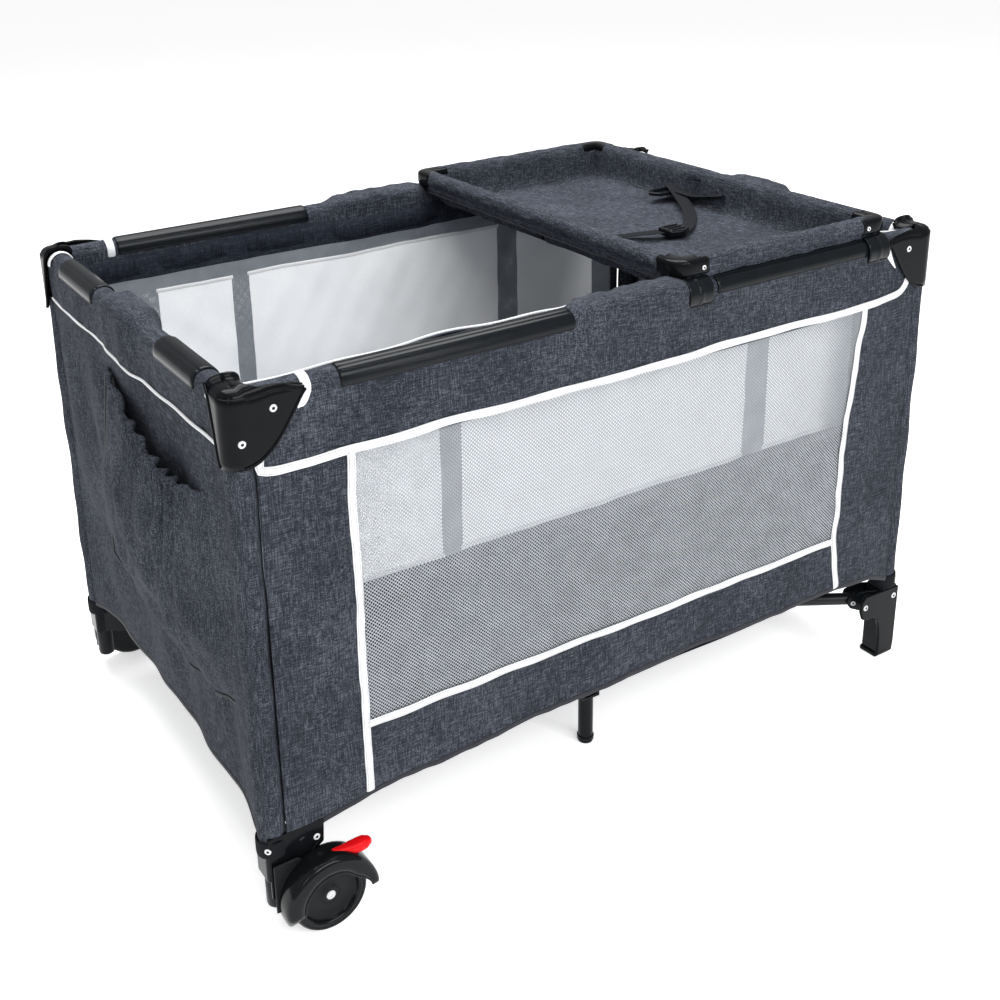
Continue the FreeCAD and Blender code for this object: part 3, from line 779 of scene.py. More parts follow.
# ---------------------------------------------------------------- caps
def cap(sx, sy):
    tag = corner_tag(sx, sy)
    body = f"corner_{tag}"
    H, A, Bw = 20.0, 78.0, 27.0  # half width, reach of the long wing, reach of the end wing
    long_a, long_z = [0, 8, 20, 34, 46, 57, 66, 73, A], [654, 655, 660, 671, 685, 701, 715, 726, 732]
    end_a, end_z = [0, 2, 6, 10, 15, 20, Bw], [654, 658, 670, 690, 712, 732, 746]

    def low(reach, end):
        return float(np.interp(reach, end_a, end_z) if end else np.interp(reach, long_a, long_z))

    # stations round the cap: (outer point, centre point, low edge)
    outer = [((a, -H), (a, 0.0), low(a, False)) for a in np.linspace(A, 0, 30)]
    for t in np.linspace(0, 90, 14)[1:-1]:
        c, s = cs(t)
        outer.append(((-H * s, -H * c), (0.0, 0.0), 654.0))
    outer += [((-H, b), (0.0, b), low(b, True)) for b in np.linspace(0, Bw, 24)]
    inner = [((H, b), (0.0, b), max(low(b, True), 692)) for b in np.linspace(Bw, 9, 10)]
    for t in np.linspace(0, 90, 9)[1:]:
        c, s = cs(t)
        inner.append(((10 + 10 * c, 9 - 9 * s), (0.0, 9 - 9 * s), 692.0))

    def rows(stations):
        out = []
        for (ox, oy), (cx, cy), zl in stations:
            d = np.array([ox - cx, oy - cy])
            row = []
            wing = float(smooth(0, 14, cx)) * (oy < 0)
            lift = float(np.interp(cx, [0, 12, 38, 58, A], [0, -2.5, 0.5, -1.0, -6])) * wing
            zt = max(738.0 + lift, zl)
            for w in np.linspace(0, 1, 12):
                row.append((cx + d[0], cy + d[1], zl + (zt - zl) * w))
            for k, up in ((0.99, 0), (0.93, 0.6), (0.925, 2.2)):
                row.append((cx + d[0] * k, cy + d[1] * k, zt + up))
            full = 90 - float(np.interp(cx, [0, 10, 24, 50, A], [0, 14, 50, 58, 70])) * wing
            for th in np.linspace(14, full, 12):
                c, s = cs(th)
                c = c**0.7
                z = (738 if zt <= 740 else zt) * (1 - wing) + zt * wing + (9.0 + 5.6 * wing) * s
                row.append((cx + d[0] * c * 0.93, cy + d[1] * c * 0.93, z))
            out.append(row)
        return np.array(out)

    for name, stn in (("outer", outer), ("inner", inner)):
        P = rows(stn)
        P[:, :, 0] = sx * (PX - P[:, :, 0])
        P[:, :, 1] = sy * (PY - P[:, :, 1])
        o = shell(f"cap_{name}_{tag}", P, body, [GLOSS], thick=3.2)
        if name == "outer":
            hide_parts(f"cap_{tag}")
    # raised rim along each wing's curved edge
    side, end = curve(list(zip(long_a, long_z)), 50), curve(list(zip(end_a, end_z)), 40)
    for name, path in (
        ("rim", [(sx * (PX - a), sy * (PY + H + 1.4), z + 1.4) for a, z in side]),
        ("rim_end", [(sx * (PX + H + 1.4), sy * (PY - a), z + 1.4) for a, z in end]),
    ):
        tube(f"cap_{name}_{tag}", path, 1.9, body, GLOSS, sides=10, dome=1.5)
    # stepped ridges along the top of the wing
    crest = ((12, -2.6), (18, -2), (26, -0.8), (38, 0.5), (58, -1.0), (76, -5.5))
    for k, (dz, dy) in enumerate(((739.6, 19.6), (744.6, 17.6))):
        path = curve([(sx * (PX - a), sy * (PY + dy), dz + z) for a, z in crest], 30)
        tube(f"cap_ridge_{k}_{tag}", path, 1.2, body, GLOSS, sides=8, dome=1.0)
    rivet(f"cap_rivet_a_{tag}", (sx * (PX - 38), sy * (PY + H + 1.6), 720), (0, sy, 0), 4.6, body)
    if not (sx > 0 and sy < 0):
        rivet(f"cap_rivet_b_{tag}", (sx * (PX + 2), sy * (PY + H + 1.6), 686), (0, sy, 0), 4.6, body)
    # pale piping round the cloth where it enters the cap
    band = tape_section(12.0, 2.4)
    path, ups = [], []
    for t in np.linspace(205, 20, 24):
        c, s = cs(t)
        path.append((A + 4.0, 16.8 * c, RZ + 16.8 * s))
        ups.append((0, c, s))
    for a, z in ((A + 3.4, 729), (A - 0.4, 720), (A - 5.6, 711), (A - 12, 702), (A - 18, 694)):
        path.append((a, 17.0 + 0.4 * (z < 720), z))
        ups.append((0, 1, 0))
    width = np.interp(np.arange(len(path)), [0, 23, 25, len(path) - 1], [1.0, 1.0, 0.95, 0.2])
    path = [(sx * (PX - a), sy * (PY + out), z) for a, out, z in path]
    ups = [(0, sy * b, c) for _, b, c in ups]
    sweep(f"cap_piping_long_{tag}", path, band, body, TAPE, up=ups, dome=1.0, scale=width)
    path, ups = [], []
    for t in np.linspace(205, 0, 26):
        c, s = cs(t)
        path.append((sx * (PX + 18.0 * c), sy * (PY - Bw - 4.5), RZ + 18.0 * s))
        ups.append((sx * c, 0, s))
    sweep(f"cap_piping_short_{tag}", path, tape_section(9.0, 2.4), body, TAPE, up=ups, dome=1.0)


for sx in (-1, 1):
    for sy in (-1, 1):
        cap(sx, sy)


# ---------------------------------------------------------------- rail covers and half-pipe clips
def clip(name, body, axis, span, fixed):
    """A half pipe snapped over the covered rail: rolled lips, a shallow groove along its top."""
    lo, hi = span
    R = 17.6

    def at(u, t, r):
        c, s = cs(t)
        side, z = fixed + r * c, RZ + r * s
        return (u, side, z) if axis == 0 else (side, u, z)

    s = np.concatenate([[lo, lo + 1.2, lo + 3], np.linspace(lo + 8, hi - 8, 24), [hi - 3, hi - 1.2, hi]])
    shrink = np.concatenate([[1.3, 0.5, 0.1], np.zeros(24), [0.1, 0.5, 1.3]])
    rows = []
    for u, less in zip(s, shrink):
        row = []
        for t in np.linspace(-14, 194, 37):
            grooves = sum(0.9 * math.exp(-(((t - centre) / 5) ** 2)) for centre in (90 - 28, 90 + 28))
            row.append(at(u, t, R - grooves - less))
        rows.append(row)
    shell(name, rows, body, [SATIN], thick=2.2)
    # rolled lips
    for key, t in (("a", -14), ("b", 194)):
        path = [at(u, t, R) for u in np.linspace(lo + 2, hi - 2, 12)]
        tube(f"{name}_lip_{key}", path, 1.6, body, SATIN, sides=10, dome=1.5)


def rails():
    for sy, a in ((-1, "front"), (1, "back")):
        for sx, b in ((-1, "left"), (1, "right")):
            name = f"long_rail_{a}_{b}"
            path = [(sx * x, sy * PY, RZ) for x in np.linspace(56, 500, 40)]
            o = tube(f"rail_cover_{a}_{b}", path, COVER_R, name, CLOTH, sides=24, dome=3.0)
    for sx, a in ((-1, "left"), (1, "right")):
        for sy, b in ((-1, "front"), (1, "back")):
            name = f"short_rail_{b}_{a}"
            path = [(sx * PX, sy * y, RZ) for y in np.linspace(30, 285, 24)]
            o = tube(f"end_rail_cover_{a}_{b}", path, COVER_R, name, CLOTH, sides=24, dome=3.0)
    clip("clip_front_left", "long_rail_front_left", 0, (-430, -98), -PY)
    clip("clip_front_right", "long_rail_front_right", 0, (142, 462), -PY)
    clip("clip_back_left", "long_rail_back_left", 0, (-462, -140), PY)
    clip("clip_back_right", "long_rail_back_right", 0, (142, 462), PY)
    clip("clip_left_front", "short_rail_front_left", 1, (-264, -134), -PX)
    clip("clip_left_back", "short_rail_back_left", 1, (110, 262), -PX)
    clip("clip_right_front", "short_rail_front_right", 1, (-262, -130), PX)
    clip("clip_right_back", "short_rail_back_right", 1, (120, 250), PX)


rails()


# ---------------------------------------------------------------- hanging insert
def insert(which):
    long = which in ("front", "back")
    body = {"back": "corner_back_left", "right": "corner_front_right"}.get(which, "corner_front_left")
    sgn = -1 if which in ("front", "left") else 1
    half = 496 if long else 281
    plane = 322.6 if long else 534.6
    seed = {"front": 60, "back": 61, "left": 62, "right": 63}[which]
    panels = [(-408, -283), (-252, 234), (278, 451)] if long else [(-255, -20), (20, 255)]
    us = np.unique(np.concatenate([np.linspace(-half, half, 110 if long else 64), np.array(panels).ravel()]))
    zs = np.unique(np.concatenate([np.linspace(424, 712, 36), [445, 652, 678]]))
    U, Z = np.meshgrid(us, zs, indexing="ij")

    def at(u, z):
        tuck = 9.5 * near_lock(u, LONG_LOCK if long else END_LOCK) * smooth(650, 690, z)
        return plane + 1.3 * waves(u, z, seed, 180) + 0.7 * waves(u, z, seed + 5, 60) - tuck

    W = at(U, Z)
    cu, cz = (us[:-1] + us[1:]) / 2, (zs[:-1] + zs[1:]) / 2
    kind = np.zeros((len(cu), len(cz)), int)
    for a, b in panels:
        kind[np.ix_((cu > a) & (cu < b), (cz > 445) & (cz < 652))] = 1
    # the bands above and below the panels take the darker cloth: painted shade
    kind[:, cz > 678] = 2
    kind[:, cz < 440] = 2
    P = np.stack([U, sgn * W, Z], 2) if long else np.stack([sgn * W, U, Z], 2)
    o = shell(f"insert_{which}_cloth", P, body, [NET_IN, WHITE, CLOTH_SHADED], thick=0.8, which=kind, slot="white_panel")
    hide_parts(f"insert_{which}")
    press = long_squash if long else short_squash
    press(o)
    for a, b in panels:
        for key, z in (("lower", 444), ("upper", 653)):
            pts = []
            for u in np.linspace(a - 2, b + 2, max(8, int((b - a) / 9))):
                w, zw = sgn * float(at(u, z)), z + 1.2 * math.sin(u / 40)
                pts.append((u, w, zw) if long else (w, u, zw))
            name, up = f"insert_{which}_tape_{key}_{int(a) + 600}", (0, 1, 0) if long else (1, 0, 0)
            press(sweep(name, pts, tape_section(6.5, 2.8), body, TAPE, up=up, dome=1.0))


for w in ("front", "back", "left", "right"):
    insert(w)


# ---------------------------------------------------------------- mattress
def mattress():
    lo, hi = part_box("mattress")
    lo, hi = np.array(lo) / MM, np.array(hi) / MM
    hx, hy = (hi[0] - lo[0]) / 2, (hi[1] - lo[1]) / 2
    z0, z1 = lo[2], hi[2]
    n, m = 90, 60
    U, V = np.meshgrid(np.linspace(-1, 1, n), np.linspace(-1, 1, m), indexing="ij")
    X, Y = U * hx, V * hy
    rim = np.minimum(hx - abs(X), hy - abs(Y))
    swell = smooth(0, 26, rim)
    seams = sum(np.exp(-(((X - c) / 5.0) ** 2)) for c in (-hx / 2, 0, hx / 2))
    top = z1 - 9 + 9 * swell - 6.5 * seams * smooth(0, 12, rim) + 0.8 * waves(X, Y, 70, 120)
    bot = z0 + 3 - 3 * swell + 0 * X
    A = np.stack([X, Y, np.minimum(top, z1)], 2)
    B = np.stack([X, Y, bot], 2)
    verts = np.concatenate([A.reshape(-1, 3), B.reshape(-1, 3)])
    faces = []
    off = n * m
    for i in range(n - 1):
        for j in range(m - 1):
            a, b, c, d = i * m + j, (i + 1) * m + j, (i + 1) * m + j + 1, i * m + j + 1
            faces += [[a, b, c, d], [d + off, c + off, b + off, a + off]]
    ring = [i * m for i in range(n)] + [(n - 1) * m + j for j in range(1, m)]
    ring += [i * m + m - 1 for i in range(n - 2, -1, -1)] + list(range(m - 2, 0, -1))
    for a, b in zip(ring, ring[1:] + ring[:1]):
        faces.append([b, a, a + off, b + off])
    o = make("mattress_pad", verts, faces, "mattress", MATTRESS)
    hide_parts("mattress")
    cut = [(-hx, -hy + 6), (-hx + 6, -hy), (hx - 6, -hy), (hx, -hy + 6)]
    cut += [(-x, -y) for x, y in cut]
    path = [(x, y, (z0 + z1) / 2 - 1) for x, y in cut]
    tube("mattress_piping", path, 2.4, "mattress", BINDING, sides=8, closed=True, slot="mattress_cloth")


mattress()


# ---------------------------------------------------------------- floor cloth in four quarters, one on each folding arm, in the darker cloth with painted shade
def floor_cloth():
    lo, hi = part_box("floor_panel")
    hx, hy = hi[0] / MM + 21, hi[1] / MM + 30
    z = (lo[2] + hi[2]) / 2 / MM
    first = True
    for sx, b in ((-1, "left"), (1, "right")):
        for sy, a in ((-1, "front"), (1, "back")):
            X, Y = np.meshgrid(np.linspace(0, sx * hx, 30), np.linspace(0, sy * hy, 20), indexing="ij")
            Z = z + 0.8 * waves(X, Y, 80, 150)
            o = shell(f"floor_cloth_{a}_{b}", np.stack([X, Y, Z], 2), f"arm_{a}_{b}", [CLOTH_SHADED], thick=1.6)
            if first:
                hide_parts("floor_panel")
                first = False
            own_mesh(o)


floor_cloth()


# ---------------------------------------------------------------- end pocket
def pocket():
    n = 140
    us = np.linspace(0, 1, n)
    U, V = np.meshgrid(us, np.linspace(0, 1, 50), indexing="ij")
    # bottom and mouth lines: u runs from the back to the front
    yb = np.interp(U, [0, 1], [190, -320])
    zb = np.interp(U, [0, 0.5, 0.8, 1], [300, 278, 284, 318])
    ym = np.interp(U, [0, 0.25, 0.5, 0.75, 1], [62, -30, -108, -188, -278])
    mouth = curve([(0, 642), (0.12, 630), (0.3, 612), (0.5, 597), (0.75, 584), (0.88, 586), (1, 593)], n)
    zm = np.interp(U, mouth[:, 0], mouth[:, 1])
    Y = yb + (ym - yb) * V
    Z = zb + (zm - zb) * V
    side = np.sin(pi * U) ** 0.6
    out = 34 * side * np.sin(0.5 * pi * np.clip(V * 2.6, 0, 1)) ** 0.62 - 17 * side * smooth(0.55, 1.0, V)
    gather = V**1.15 * side
    phase = 8.5 * U + 0.35 * np.sin(7 * U + 1) + 0.22 * np.sin(17 * U)
    fold = np.sin(2 * pi * phase)
    base = 559.5 + 14.5 * (1 - smooth(240, SHORT_END, abs(Y))) * smooth(300, 430, Z)
    folds = gather * (7.0 * fold * (0.7 + 0.3 * np.sin(11 * U))) + gather**3 * 1.8 * np.sin(2 * pi * 31 * U)
    uneven = side * (2.6 * waves(Y, Z, 90, 95) + 1.2 * waves(Y, Z * 0.4, 91, 40))
    X = -(base + out + folds + uneven)
    Z = Z + 2.6 * V**3 * side * np.cos(2 * pi * phase)
    P = np.stack([X, Y, Z], 2)
    o = shell("end_pocket_cloth", P, "corner_front_left", [CLOTH], thick=1.4)
    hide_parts("end_pocket")
    short_squash(o)
    path = P[:, -1] + np.array([-0.4, 0, 0.5])
    sc = 1 + 0.3 * np.sin(2 * pi * 31 * us) * np.sin(pi * us) ** 0.5
    short_squash(tube("pocket_mouth", path, 4.2, "corner_front_left", CLOTH, sides=12, dome=3.0, scale=sc))
    for k, path in (("back", P[0]), ("front", P[-1]), ("bottom", P[:, 0])):
        path, section = path + np.array([-3.6, 0, 0]), tape_section(3.6, 2.2)
        short_squash(sweep(f"pocket_seam_{k}", path, section, "corner_front_left", BINDING, up=(-1, 0, 0), dome=1.0))


pocket()


# ---------------------------------------------------------------- changing tray
def tray():
    B = "changing_tray"
    cx, hx, hy = 281.0, 189.0, 335.0
    zt = 762.0
    # basin: inset from the tube line and height
    prof = [
        (4, 772.5), (9, 771), (13, 765), (14.5, 755), (15.5, 743), (17, 731), (19, 723), (22.5, 718), (30, 716),
        (44, 715.5)
    ]
    ins = [p[0] for p in prof]
    floor_x = np.linspace(-(hx - 44), hx - 44, 44)[1:-1]
    floor_y = np.linspace(-(hy - 44), hy - 44, 64)[1:-1]
    xs = np.concatenate([[-(hx - i) for i in ins], floor_x, [hx - i for i in reversed(ins)]])
    ys = np.concatenate([[-(hy - i) for i in ins], floor_y, [hy - i for i in reversed(ins)]])
    X, Y = np.meshgrid(xs, ys, indexing="ij")
    dx, dy = hx - abs(X), hy - abs(Y)
    near = np.minimum(dx, dy)
    Z = np.maximum(*(np.interp(d, ins, [p[1] for p in prof]) for d in (dx, dy)))
    inside = smooth(20, 90, near)
    Z = Z - 3.5 * inside + 1.5 * inside * waves(X, Y, 100, 110) + 0.9 * inside * waves(X + Y, Y, 104, 45)
    wall = smooth(12, 16, near) * (1 - smooth(24, 50, near))
    pull = 2.2 * waves(X * 0.9, Y * 0.9, 101, 42) + 1.2 * waves(X, Y, 102, 22)
    X2 = X - np.sign(X) * wall * (dx < dy) * pull * smooth(0, 60, dy)
    Y2 = Y - np.sign(Y) * wall * (dx >= dy) * pull * smooth(0, 60, dx)
    o = shell("tray_basin", np.stack([X2 + cx, Y2, Z], 2), B, [CLOTH], thick=1.6)
    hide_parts("tray_cloth")
    # sewn edge where the floor meets the walls
    q = [(cx + a * (hx - 22), b * (hy - 22), 719.0) for a, b in ((-1, -1), (1, -1), (1, 1), (-1, 1), (-1, -1))]
    path = np.concatenate([np.linspace(q[k], q[k + 1], 30)[:-1] for k in range(4)])
    tube("tray_floor_seam", path, 1.3, B, BINDING, sides=8, closed=True)
    # sleeves round the four tubes, with the cloth's sewn skirt below
    sides = (
        ("left", (cx - hx, -hy), (cx - hx, hy), (-1, 0, 0)),
        ("right", (cx + hx, -hy), (cx + hx, hy), (1, 0, 0)),
        ("front", (cx - hx, -hy), (cx + hx, -hy), (0, -1, 0)),
        ("back", (cx - hx, hy), (cx + hx, hy), (0, 1, 0)),
    )
    for seed, (k, (x0, y0), (x1, y1), out) in enumerate(sides, 110):
        d = np.array([x1 - x0, y1 - y0, 0.0])
        L = np.linalg.norm(d)
        d /= L
        out = np.array(out, float)
        rows = []
        for s in np.linspace(26, L - 26, 110):
            c = np.array([x0, y0, zt]) + d * s
            row = []
            for t in np.linspace(200, -40, 25):
                r = 12.6 + 0.5 * float(waves(s, t, seed, 60)) + 0.35 * float(waves(s, t * 0.5, seed + 9, 22))
                sideways, up = cs(t)
                row.append(c + out * r * sideways + np.array([0, 0, r * up]))
            e = row[-1]
            for z in (4, 8, 13):
                row.append(e + out * (-0.2 * z + 0.8 * float(waves(s, z, seed + 3, 50))) + np.array([0, 0, -z]))
            rows.append(row)
        o = shell(f"tray_sleeve_{k}", rows, B, [CLOTH], thick=1.6)
        tube(f"tray_hem_{k}", [r[-1] for r in rows], 1.8, B, BINDING, sides=8, dome=1.0)
    # moulded corners with a claw that clips over the rail
    for sx in (-1, 1):
        for sy in (-1, 1):
            tag = corner_tag(sx, sy)
            x, y = cx + sx * hx, sy * hy
            bend = ((40, 0), (26, 0), (12, 0), (4, 1.5), (1.2, 4.5), (0, 12), (0, 24), (0, 34))
            path = curve([(x - sx * a, y - sy * b, zt) for a, b in bend], 26)
            o = sweep(f"tray_corner_{tag}", path, blunt(28, 0.5, 14.2, 12.4), B, GLOSS, up=(0, 0, 1), dome=1.0)
            if sx < 0 and sy < 0:
                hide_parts("tray_hooks")
            rivet(f"tray_rivet_{tag}", (x - sx * 30, y + sy * 14.2, zt - 1), (0, sy, 0), 3.4, B)

            def claw(u, t, r):
                c, s = cs(t)
                return (x - sx * u, sy * (PY + r * c), RZ - 1.5 + r * s)

            turns = np.linspace(150, -38, 24)
            rows = [[claw(u, t, 22.0 + 0.9 * (abs(u - 17) < 2.5)) for t in turns] for u in np.linspace(-4, 38, 16)]
            shell(f"tray_claw_{tag}", rows, B, [SATIN], thick=2.6)
            path = [claw(u, -38, 22.4) for u in np.linspace(-3, 37, 10)]
            tube(f"tray_claw_lip_out_{tag}", path, 2.1, B, SATIN, sides=8, dome=1.5)
            xa, xb = sorted((x - sx * 4, x - sx * 32))
            pad(
                f"tray_neck_{tag}", (xa, min(y - 8, y + sy * 10), 742), (xb, max(y + 8, y + sy * 10), 756), 3.0, B,
                SATIN
            )
    # harness: two straps meet at a buckle, with a slide near the far wall
    def strap(name, pts, w=22, n=80):
        return sweep(name, curve(pts, n), tape_section(w, 1.9), B, WEBBING, up=(0, 0, 1), dome=0.8)

    o = strap(
        "tray_webbing_near",
        [
            (110, 8, 724), (128, -2, 718.5), (165, -20, 717), (205, -40, 718), (240, -62, 722), (272, -78, 724),
            (300, -84, 721)
        ]
    )
    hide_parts("tray_strap")
    o = strap(
        "tray_webbing_far",
        [
            (296, -92, 722), (330, -76, 719), (372, -40, 718), (408, 6, 722), (430, 50, 730), (440, 78, 738),
            (446, 96, 742)
        ]
    )
    o = strap(
        "tray_webbing_tail", [(440, 70, 736), (447, 40, 733), (452, 12, 736), (450, -14, 742), (455, -30, 746)], w=20,
        n=50
    )
    hexa = [(0, 0), (14, 14), (40, 14), (50, 4), (50, -12), (36, -20), (12, -16)]
    plate("tray_slide", [(398 + a, 96 + b) for a, b in hexa], 728, 734, 2, B, SATIN, bevel=2.0)
    plate("tray_slide_bar", [(410, 92), (440, 92), (440, 99), (410, 99)], 733.5, 738, 2, B, GLOSS, bevel=1.6)
    o = plate(
        "tray_buckle_shell", [(276, -104), (300, -110), (318, -100), (318, -78), (300, -66), (276, -72)], 718.5, 730,
        2, B, GLOSS, bevel=3.2
    )
    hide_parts("tray_buckle")
    for k, t in enumerate((-98, -88, -78)):
        pad(f"tray_buckle_grip_{k}", (284, t - 1.5, 729), (310, t + 1.5, 731.5), 0.9, B, SATIN)


tray()


# ---------------------------------------------------------------- wheels, fenders, brackets, feet
AXLE_X, AXLE_Z = -499.0, 52.0


def turn(o, centre, degrees):
    """Turns a piece's own mesh about a vertical line."""
    c = Vector((centre[0] * MM, centre[1] * MM, 0))
    o.data.transform(Matrix.Translation(c) @ Matrix.Rotation(math.radians(degrees), 4, "Z") @ Matrix.Translation(-c))


def clevis(sx, sy, body, tag):
    """Two cheeks from the post to the floor arm's pivot, on the diagonal."""
    ang = math.degrees(math.atan2(-sy * PY, -sx * PX))
    x, y = sx * PX, sy * PY
    ear = ((2, 86), (40, 86), (54, 90), (61, 99), (58, 110), (48, 117), (30, 122), (2, 124))
    for k, off in (("a", 13.4), ("b", -13.4)):
        cheek = plate(
            f"clevis_{k}_{tag}", [(x + a, z) for a, z in ear], y + off - 2.0, y + off + 2.0, 1, body, SATIN, bevel=1.2
        )
        turn(cheek, (x, y), ang)
    c, s = cs(ang)
    for k, off in (("a", 15.2), ("b", -15.2)):
        at = (x + 50 * c - off * s, y + 50 * s + off * c, 100)
        rivet(f"clevis_rivet_{k}_{tag}", at, (-s * off, c * off, 0), 4.2, body)


def wheel(sy):
    tag = "front" if sy < 0 else "back"
    c = (AXLE_X, sy * 376.0, AXLE_Z)
    prof = [(0, -11), (40, -11), (46, -10.5), (50, -8), (52, -3), (52, 3), (50.8, 7), (48.8, 9.6), (46.6, 10.8)]
    prof += [(44.8, 9.4), (44.0, 9.2), (42.6, 10.2), (40.2, 9.8), (38.8, 7.0)]
    prof += [(37.6, 3.6), (36.0, 2.6), (28, 2.2), (18, 3.0), (12.5, 4.4), (11.0, 6.4), (9.0, 7.2), (0, 7.2)]
    which = [0] * 14 + [1] * 7
    o = lathe(f"wheel_{tag}_body", prof, c, (0, sy, 0), f"wheel_{tag}", [TYRE, MATTE], n=96, which=which)
    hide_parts(f"wheel_{tag}")
    rivet(f"wheel_{tag}_hub", (c[0], c[1] + sy * 7.2, c[2]), (0, sy, 0), 6.4, f"wheel_{tag}", middle=RIVET)


def fender(sy):
    """Curved guard over the wheel, from a rounded tail at the front to a broad lower end by the leg."""
    tag = "front" if sy < 0 else "back"
    body = f"corner_{tag}_left"
    rows = []
    for t in np.linspace(-2, 198, 70):
        e = float(min(smooth(-2, 40, t), 1 - smooth(184, 198, t))) ** 0.7
        r = 60.0 + 2.0 * float(smooth(130, 190, t)) + 4.0 * (1 - float(smooth(-2, 40, t)))
        lip = 2 + 12.5 * e
        sec = [
            (358, r - 1.5), (362, r), (370, r), (378, r), (385, r - 0.2), (389.5, r - 1.4), (392.5, r - 4),
            (393.6, r - 7), (393.8, r - 7 - 0.5 * lip), (393.6, r - 7 - lip)
        ]
        if e < 0.999:
            if t < 90:
                sec = [(393.6 + (a - 393.6) * (0.28 + 0.72 * e), b) for a, b in sec]
            else:
                sec = [(376 + (a - 376) * (0.55 + 0.45 * e), b) for a, b in sec]
        c, s = cs(t)
        rows.append([(AXLE_X + b * c, sy * a, AXLE_Z + b * s) for a, b in sec])
    o = shell(f"fender_{tag}", rows, body, [TYRE], thick=2.6, slot="black_plastic")
    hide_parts(f"wheel_bracket_{tag}")
    tube(f"fender_rim_{tag}", [r[-1] for r in rows], 1.6, body, TYRE, sides=8, dome=1.2, slot="black_plastic")


def wheel_bracket(sy):
    tag = "front" if sy < 0 else "back"
    body = f"corner_{tag}_left"
    x, y = -PX, sy * PY
    # leg below the sleeve
    lathe(
        f"leg_{tag}", [(0, 36), (9, 36), (12.4, 38.5), (13.2, 42), (13.2, 150), (0, 150)], (x, y, 0), (0, 0, 1), body,
        [SATIN], n=40
    )
    # outer plate: broad at the top, sloping back to the leg
    out = [(x - 12, 58), (x + 2, 56), (x + 30, 80), (x + 52, 108), (x + 63, 116), (x + 65, 150), (x - 12, 150)]
    plate(f"bracket_outer_{tag}", out, y + sy * 13, y + sy * 18.4, 1, body, GLOSS, bevel=1.6)
    ridge = [
        (x - 8, y + sy * 18.8, 60), (x + 4, y + sy * 19.4, 66), (x + 26, y + sy * 19.6, 86),
        (x + 46, y + sy * 19.4, 112), (x + 56, y + sy * 18.8, 122)
    ]
    tube(f"bracket_ridge_{tag}", curve(ridge, 30), 1.7, body, GLOSS, sides=8, dome=1.2)
    # second plate carries the axle
    out = [(x - 10, 40), (x + 44, 40), (x + 66, 46), (x + 66, 60), (x + 40, 96), (x + 24, 112), (x - 10, 112)]
    plate(f"bracket_axle_{tag}", out, y + sy * 20.5, y + sy * 24, 1, body, MATTE, bevel=1.4)
    pad(f"bracket_block_{tag}", (x - 16, y - 17, 84), (x + 24, y + 17, 126), 4, body, SATIN)
    rivet(f"bracket_rivet_a_{tag}", (-502, y + sy * 18.6, 127), (0, sy, 0), 4.6, body)
    rivet(f"bracket_rivet_b_{tag}", (-541, y + sy * 18.6, 103), (0, sy, 0), 4.6, body)
    lathe(
        f"axle_{tag}", [(0, 0), (6, 0), (6, 20), (0, 20)], (AXLE_X, y + sy * 20, AXLE_Z), (0, sy, 0), body, [STEEL],
        n=28
    )
    clevis(-1, sy, body, tag + "_left")


def pedal(sy):
    """Brake lever: a thin stalk by the guard that widens to a round, thick paddle."""
    tag = "front" if sy < 0 else "back"
    y = sy * 376.0
    line = ((-506, 108), (-497, 109.5), (-488, 109.0), (-474, 106.0), (-460, 104.0), (-447, 104.0), (-440, 104.5))
    path = curve([(x, y, z) for x, z in line], 40)
    t = np.linspace(0, 1, 40)
    w = np.interp(t, [0, 0.15, 0.4, 0.55, 0.62, 0.8, 0.93, 1.0], [0.35, 0.42, 0.72, 0.95, 1.12, 1.22, 1.15, 0.85])
    o = sweep(
        f"brake_lever_{tag}", path, blunt(24, 0.7, 7.6, 6.4), f"brake_pedal_{tag}", RED, up=(0, 0, 1), dome=5.0,
        scale=w
    )
    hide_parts(f"brake_pedal_{tag}")


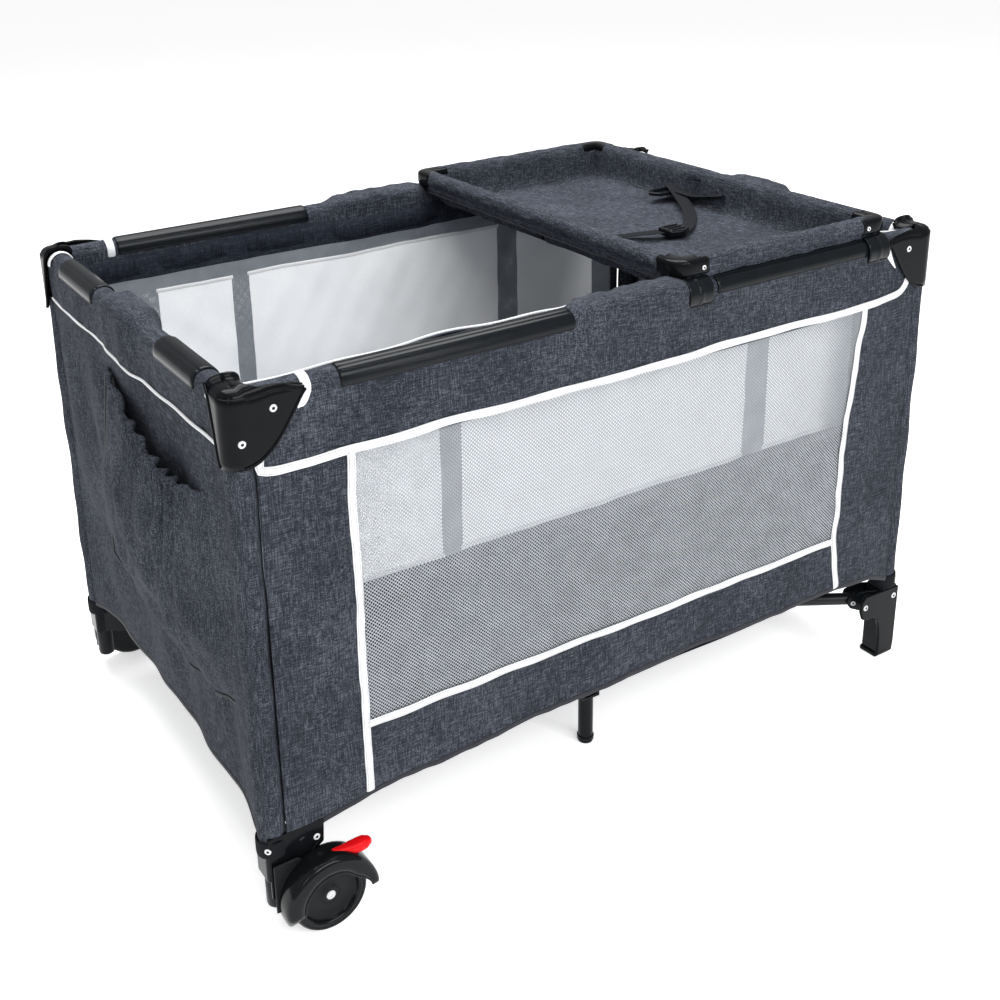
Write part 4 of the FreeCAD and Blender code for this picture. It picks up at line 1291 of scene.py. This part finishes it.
def foot(sy):
    """Moulded right-hand foot: a column round the post, a lobe over the floor arm, a flared sole."""
    tag = "front" if sy < 0 else "back"
    body = f"corner_{tag}_right"
    x, y = PX, sy * PY
    lobe = ((-62, 88), (-50, 84), (-38, 84), (-28, 78), (-22, 62), (-19, 40), (-18, 12), (-21, 3), (17, 3), (19, 20))
    lobe += ((19.5, 127), (-58, 130), (-66, 122), (-68, 104))
    out = [(x + a, z) for a, z in lobe]
    o = plate(f"foot_front_plate_{tag}", out, y + sy * 13.5, y + sy * 19.5, 1, body, GLOSS, bevel=2.0)
    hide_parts(f"foot_bracket_{tag}")
    out = [(x - 18, 4), (x + 17, 4), (x + 19, 20), (x + 19, 125), (x - 19, 125), (x - 18, 30)]
    plate(f"foot_column_{tag}", out, y - 16, y + 14.5 if sy > 0 else y + 16, 1, body, SATIN, bevel=3.0)
    pad(f"foot_sole_{tag}", (x - 21, y - 17, 0), (x + 19, y + 17, 9), 2.6, body, GLOSS)
    pad(f"foot_collar_{tag}", (x - 17, y - 17, 124), (x + 17, y + 17, 131), 2.6, body, SATIN)
    rivet(f"foot_rivet_a_{tag}", (x - 58, y + sy * 19.6, 110), (0, sy, 0), 5.0, body)
    rivet(f"foot_rivet_b_{tag}", (x + 8, y + sy * 19.6, 112), (0, sy, 0), 5.0, body)
    clevis(1, sy, body, tag + "_right")


for s in (-1, 1):
    wheel(s)
    fender(s)
    wheel_bracket(s)
    pedal(s)
    foot(s)


# ---------------------------------------------------------------- finish for the carried-over CAD parts
finish_of = {
    "post_": STEEL, "long_rail": STEEL, "short_rail": STEEL, "arm_": STEEL, "cross_arm": STEEL, "hub": SATIN,
    "mid_leg": SATIN, "lock_": SATIN, "button_": RED, "wheel_bracket": SATIN, "foot_bracket": SATIN,
    "brake_pedal": RED, "tray_frame": STEEL, "tray_hooks": SATIN, "tray_buckle": SATIN, "cap_": GLOSS, "wheel_": TYRE,
}
edged = ("wheel_bracket", "foot_bracket", "brake_pedal", "mid_leg", "hub", "lock_")
for name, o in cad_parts.items():
    # the longest prefix comes last, so it decides
    for prefix, m in sorted(finish_of.items(), key=lambda kv: len(kv[0])):
        if name.startswith(prefix) and o.type == "MESH":
            if not o.material_slots:
                o.data.materials.append(m)
            for s in o.material_slots:
                s.link = "OBJECT"
                s.material = m
    if not o.hide_render and name.startswith(edged):
        b = o.modifiers.new("edges", "BEVEL")
        b.width = 0.004 if name.startswith("lock_") else 0.0012
        b.segments = 2
        b.limit_method = "ANGLE"
        b.angle_limit = math.radians(50)
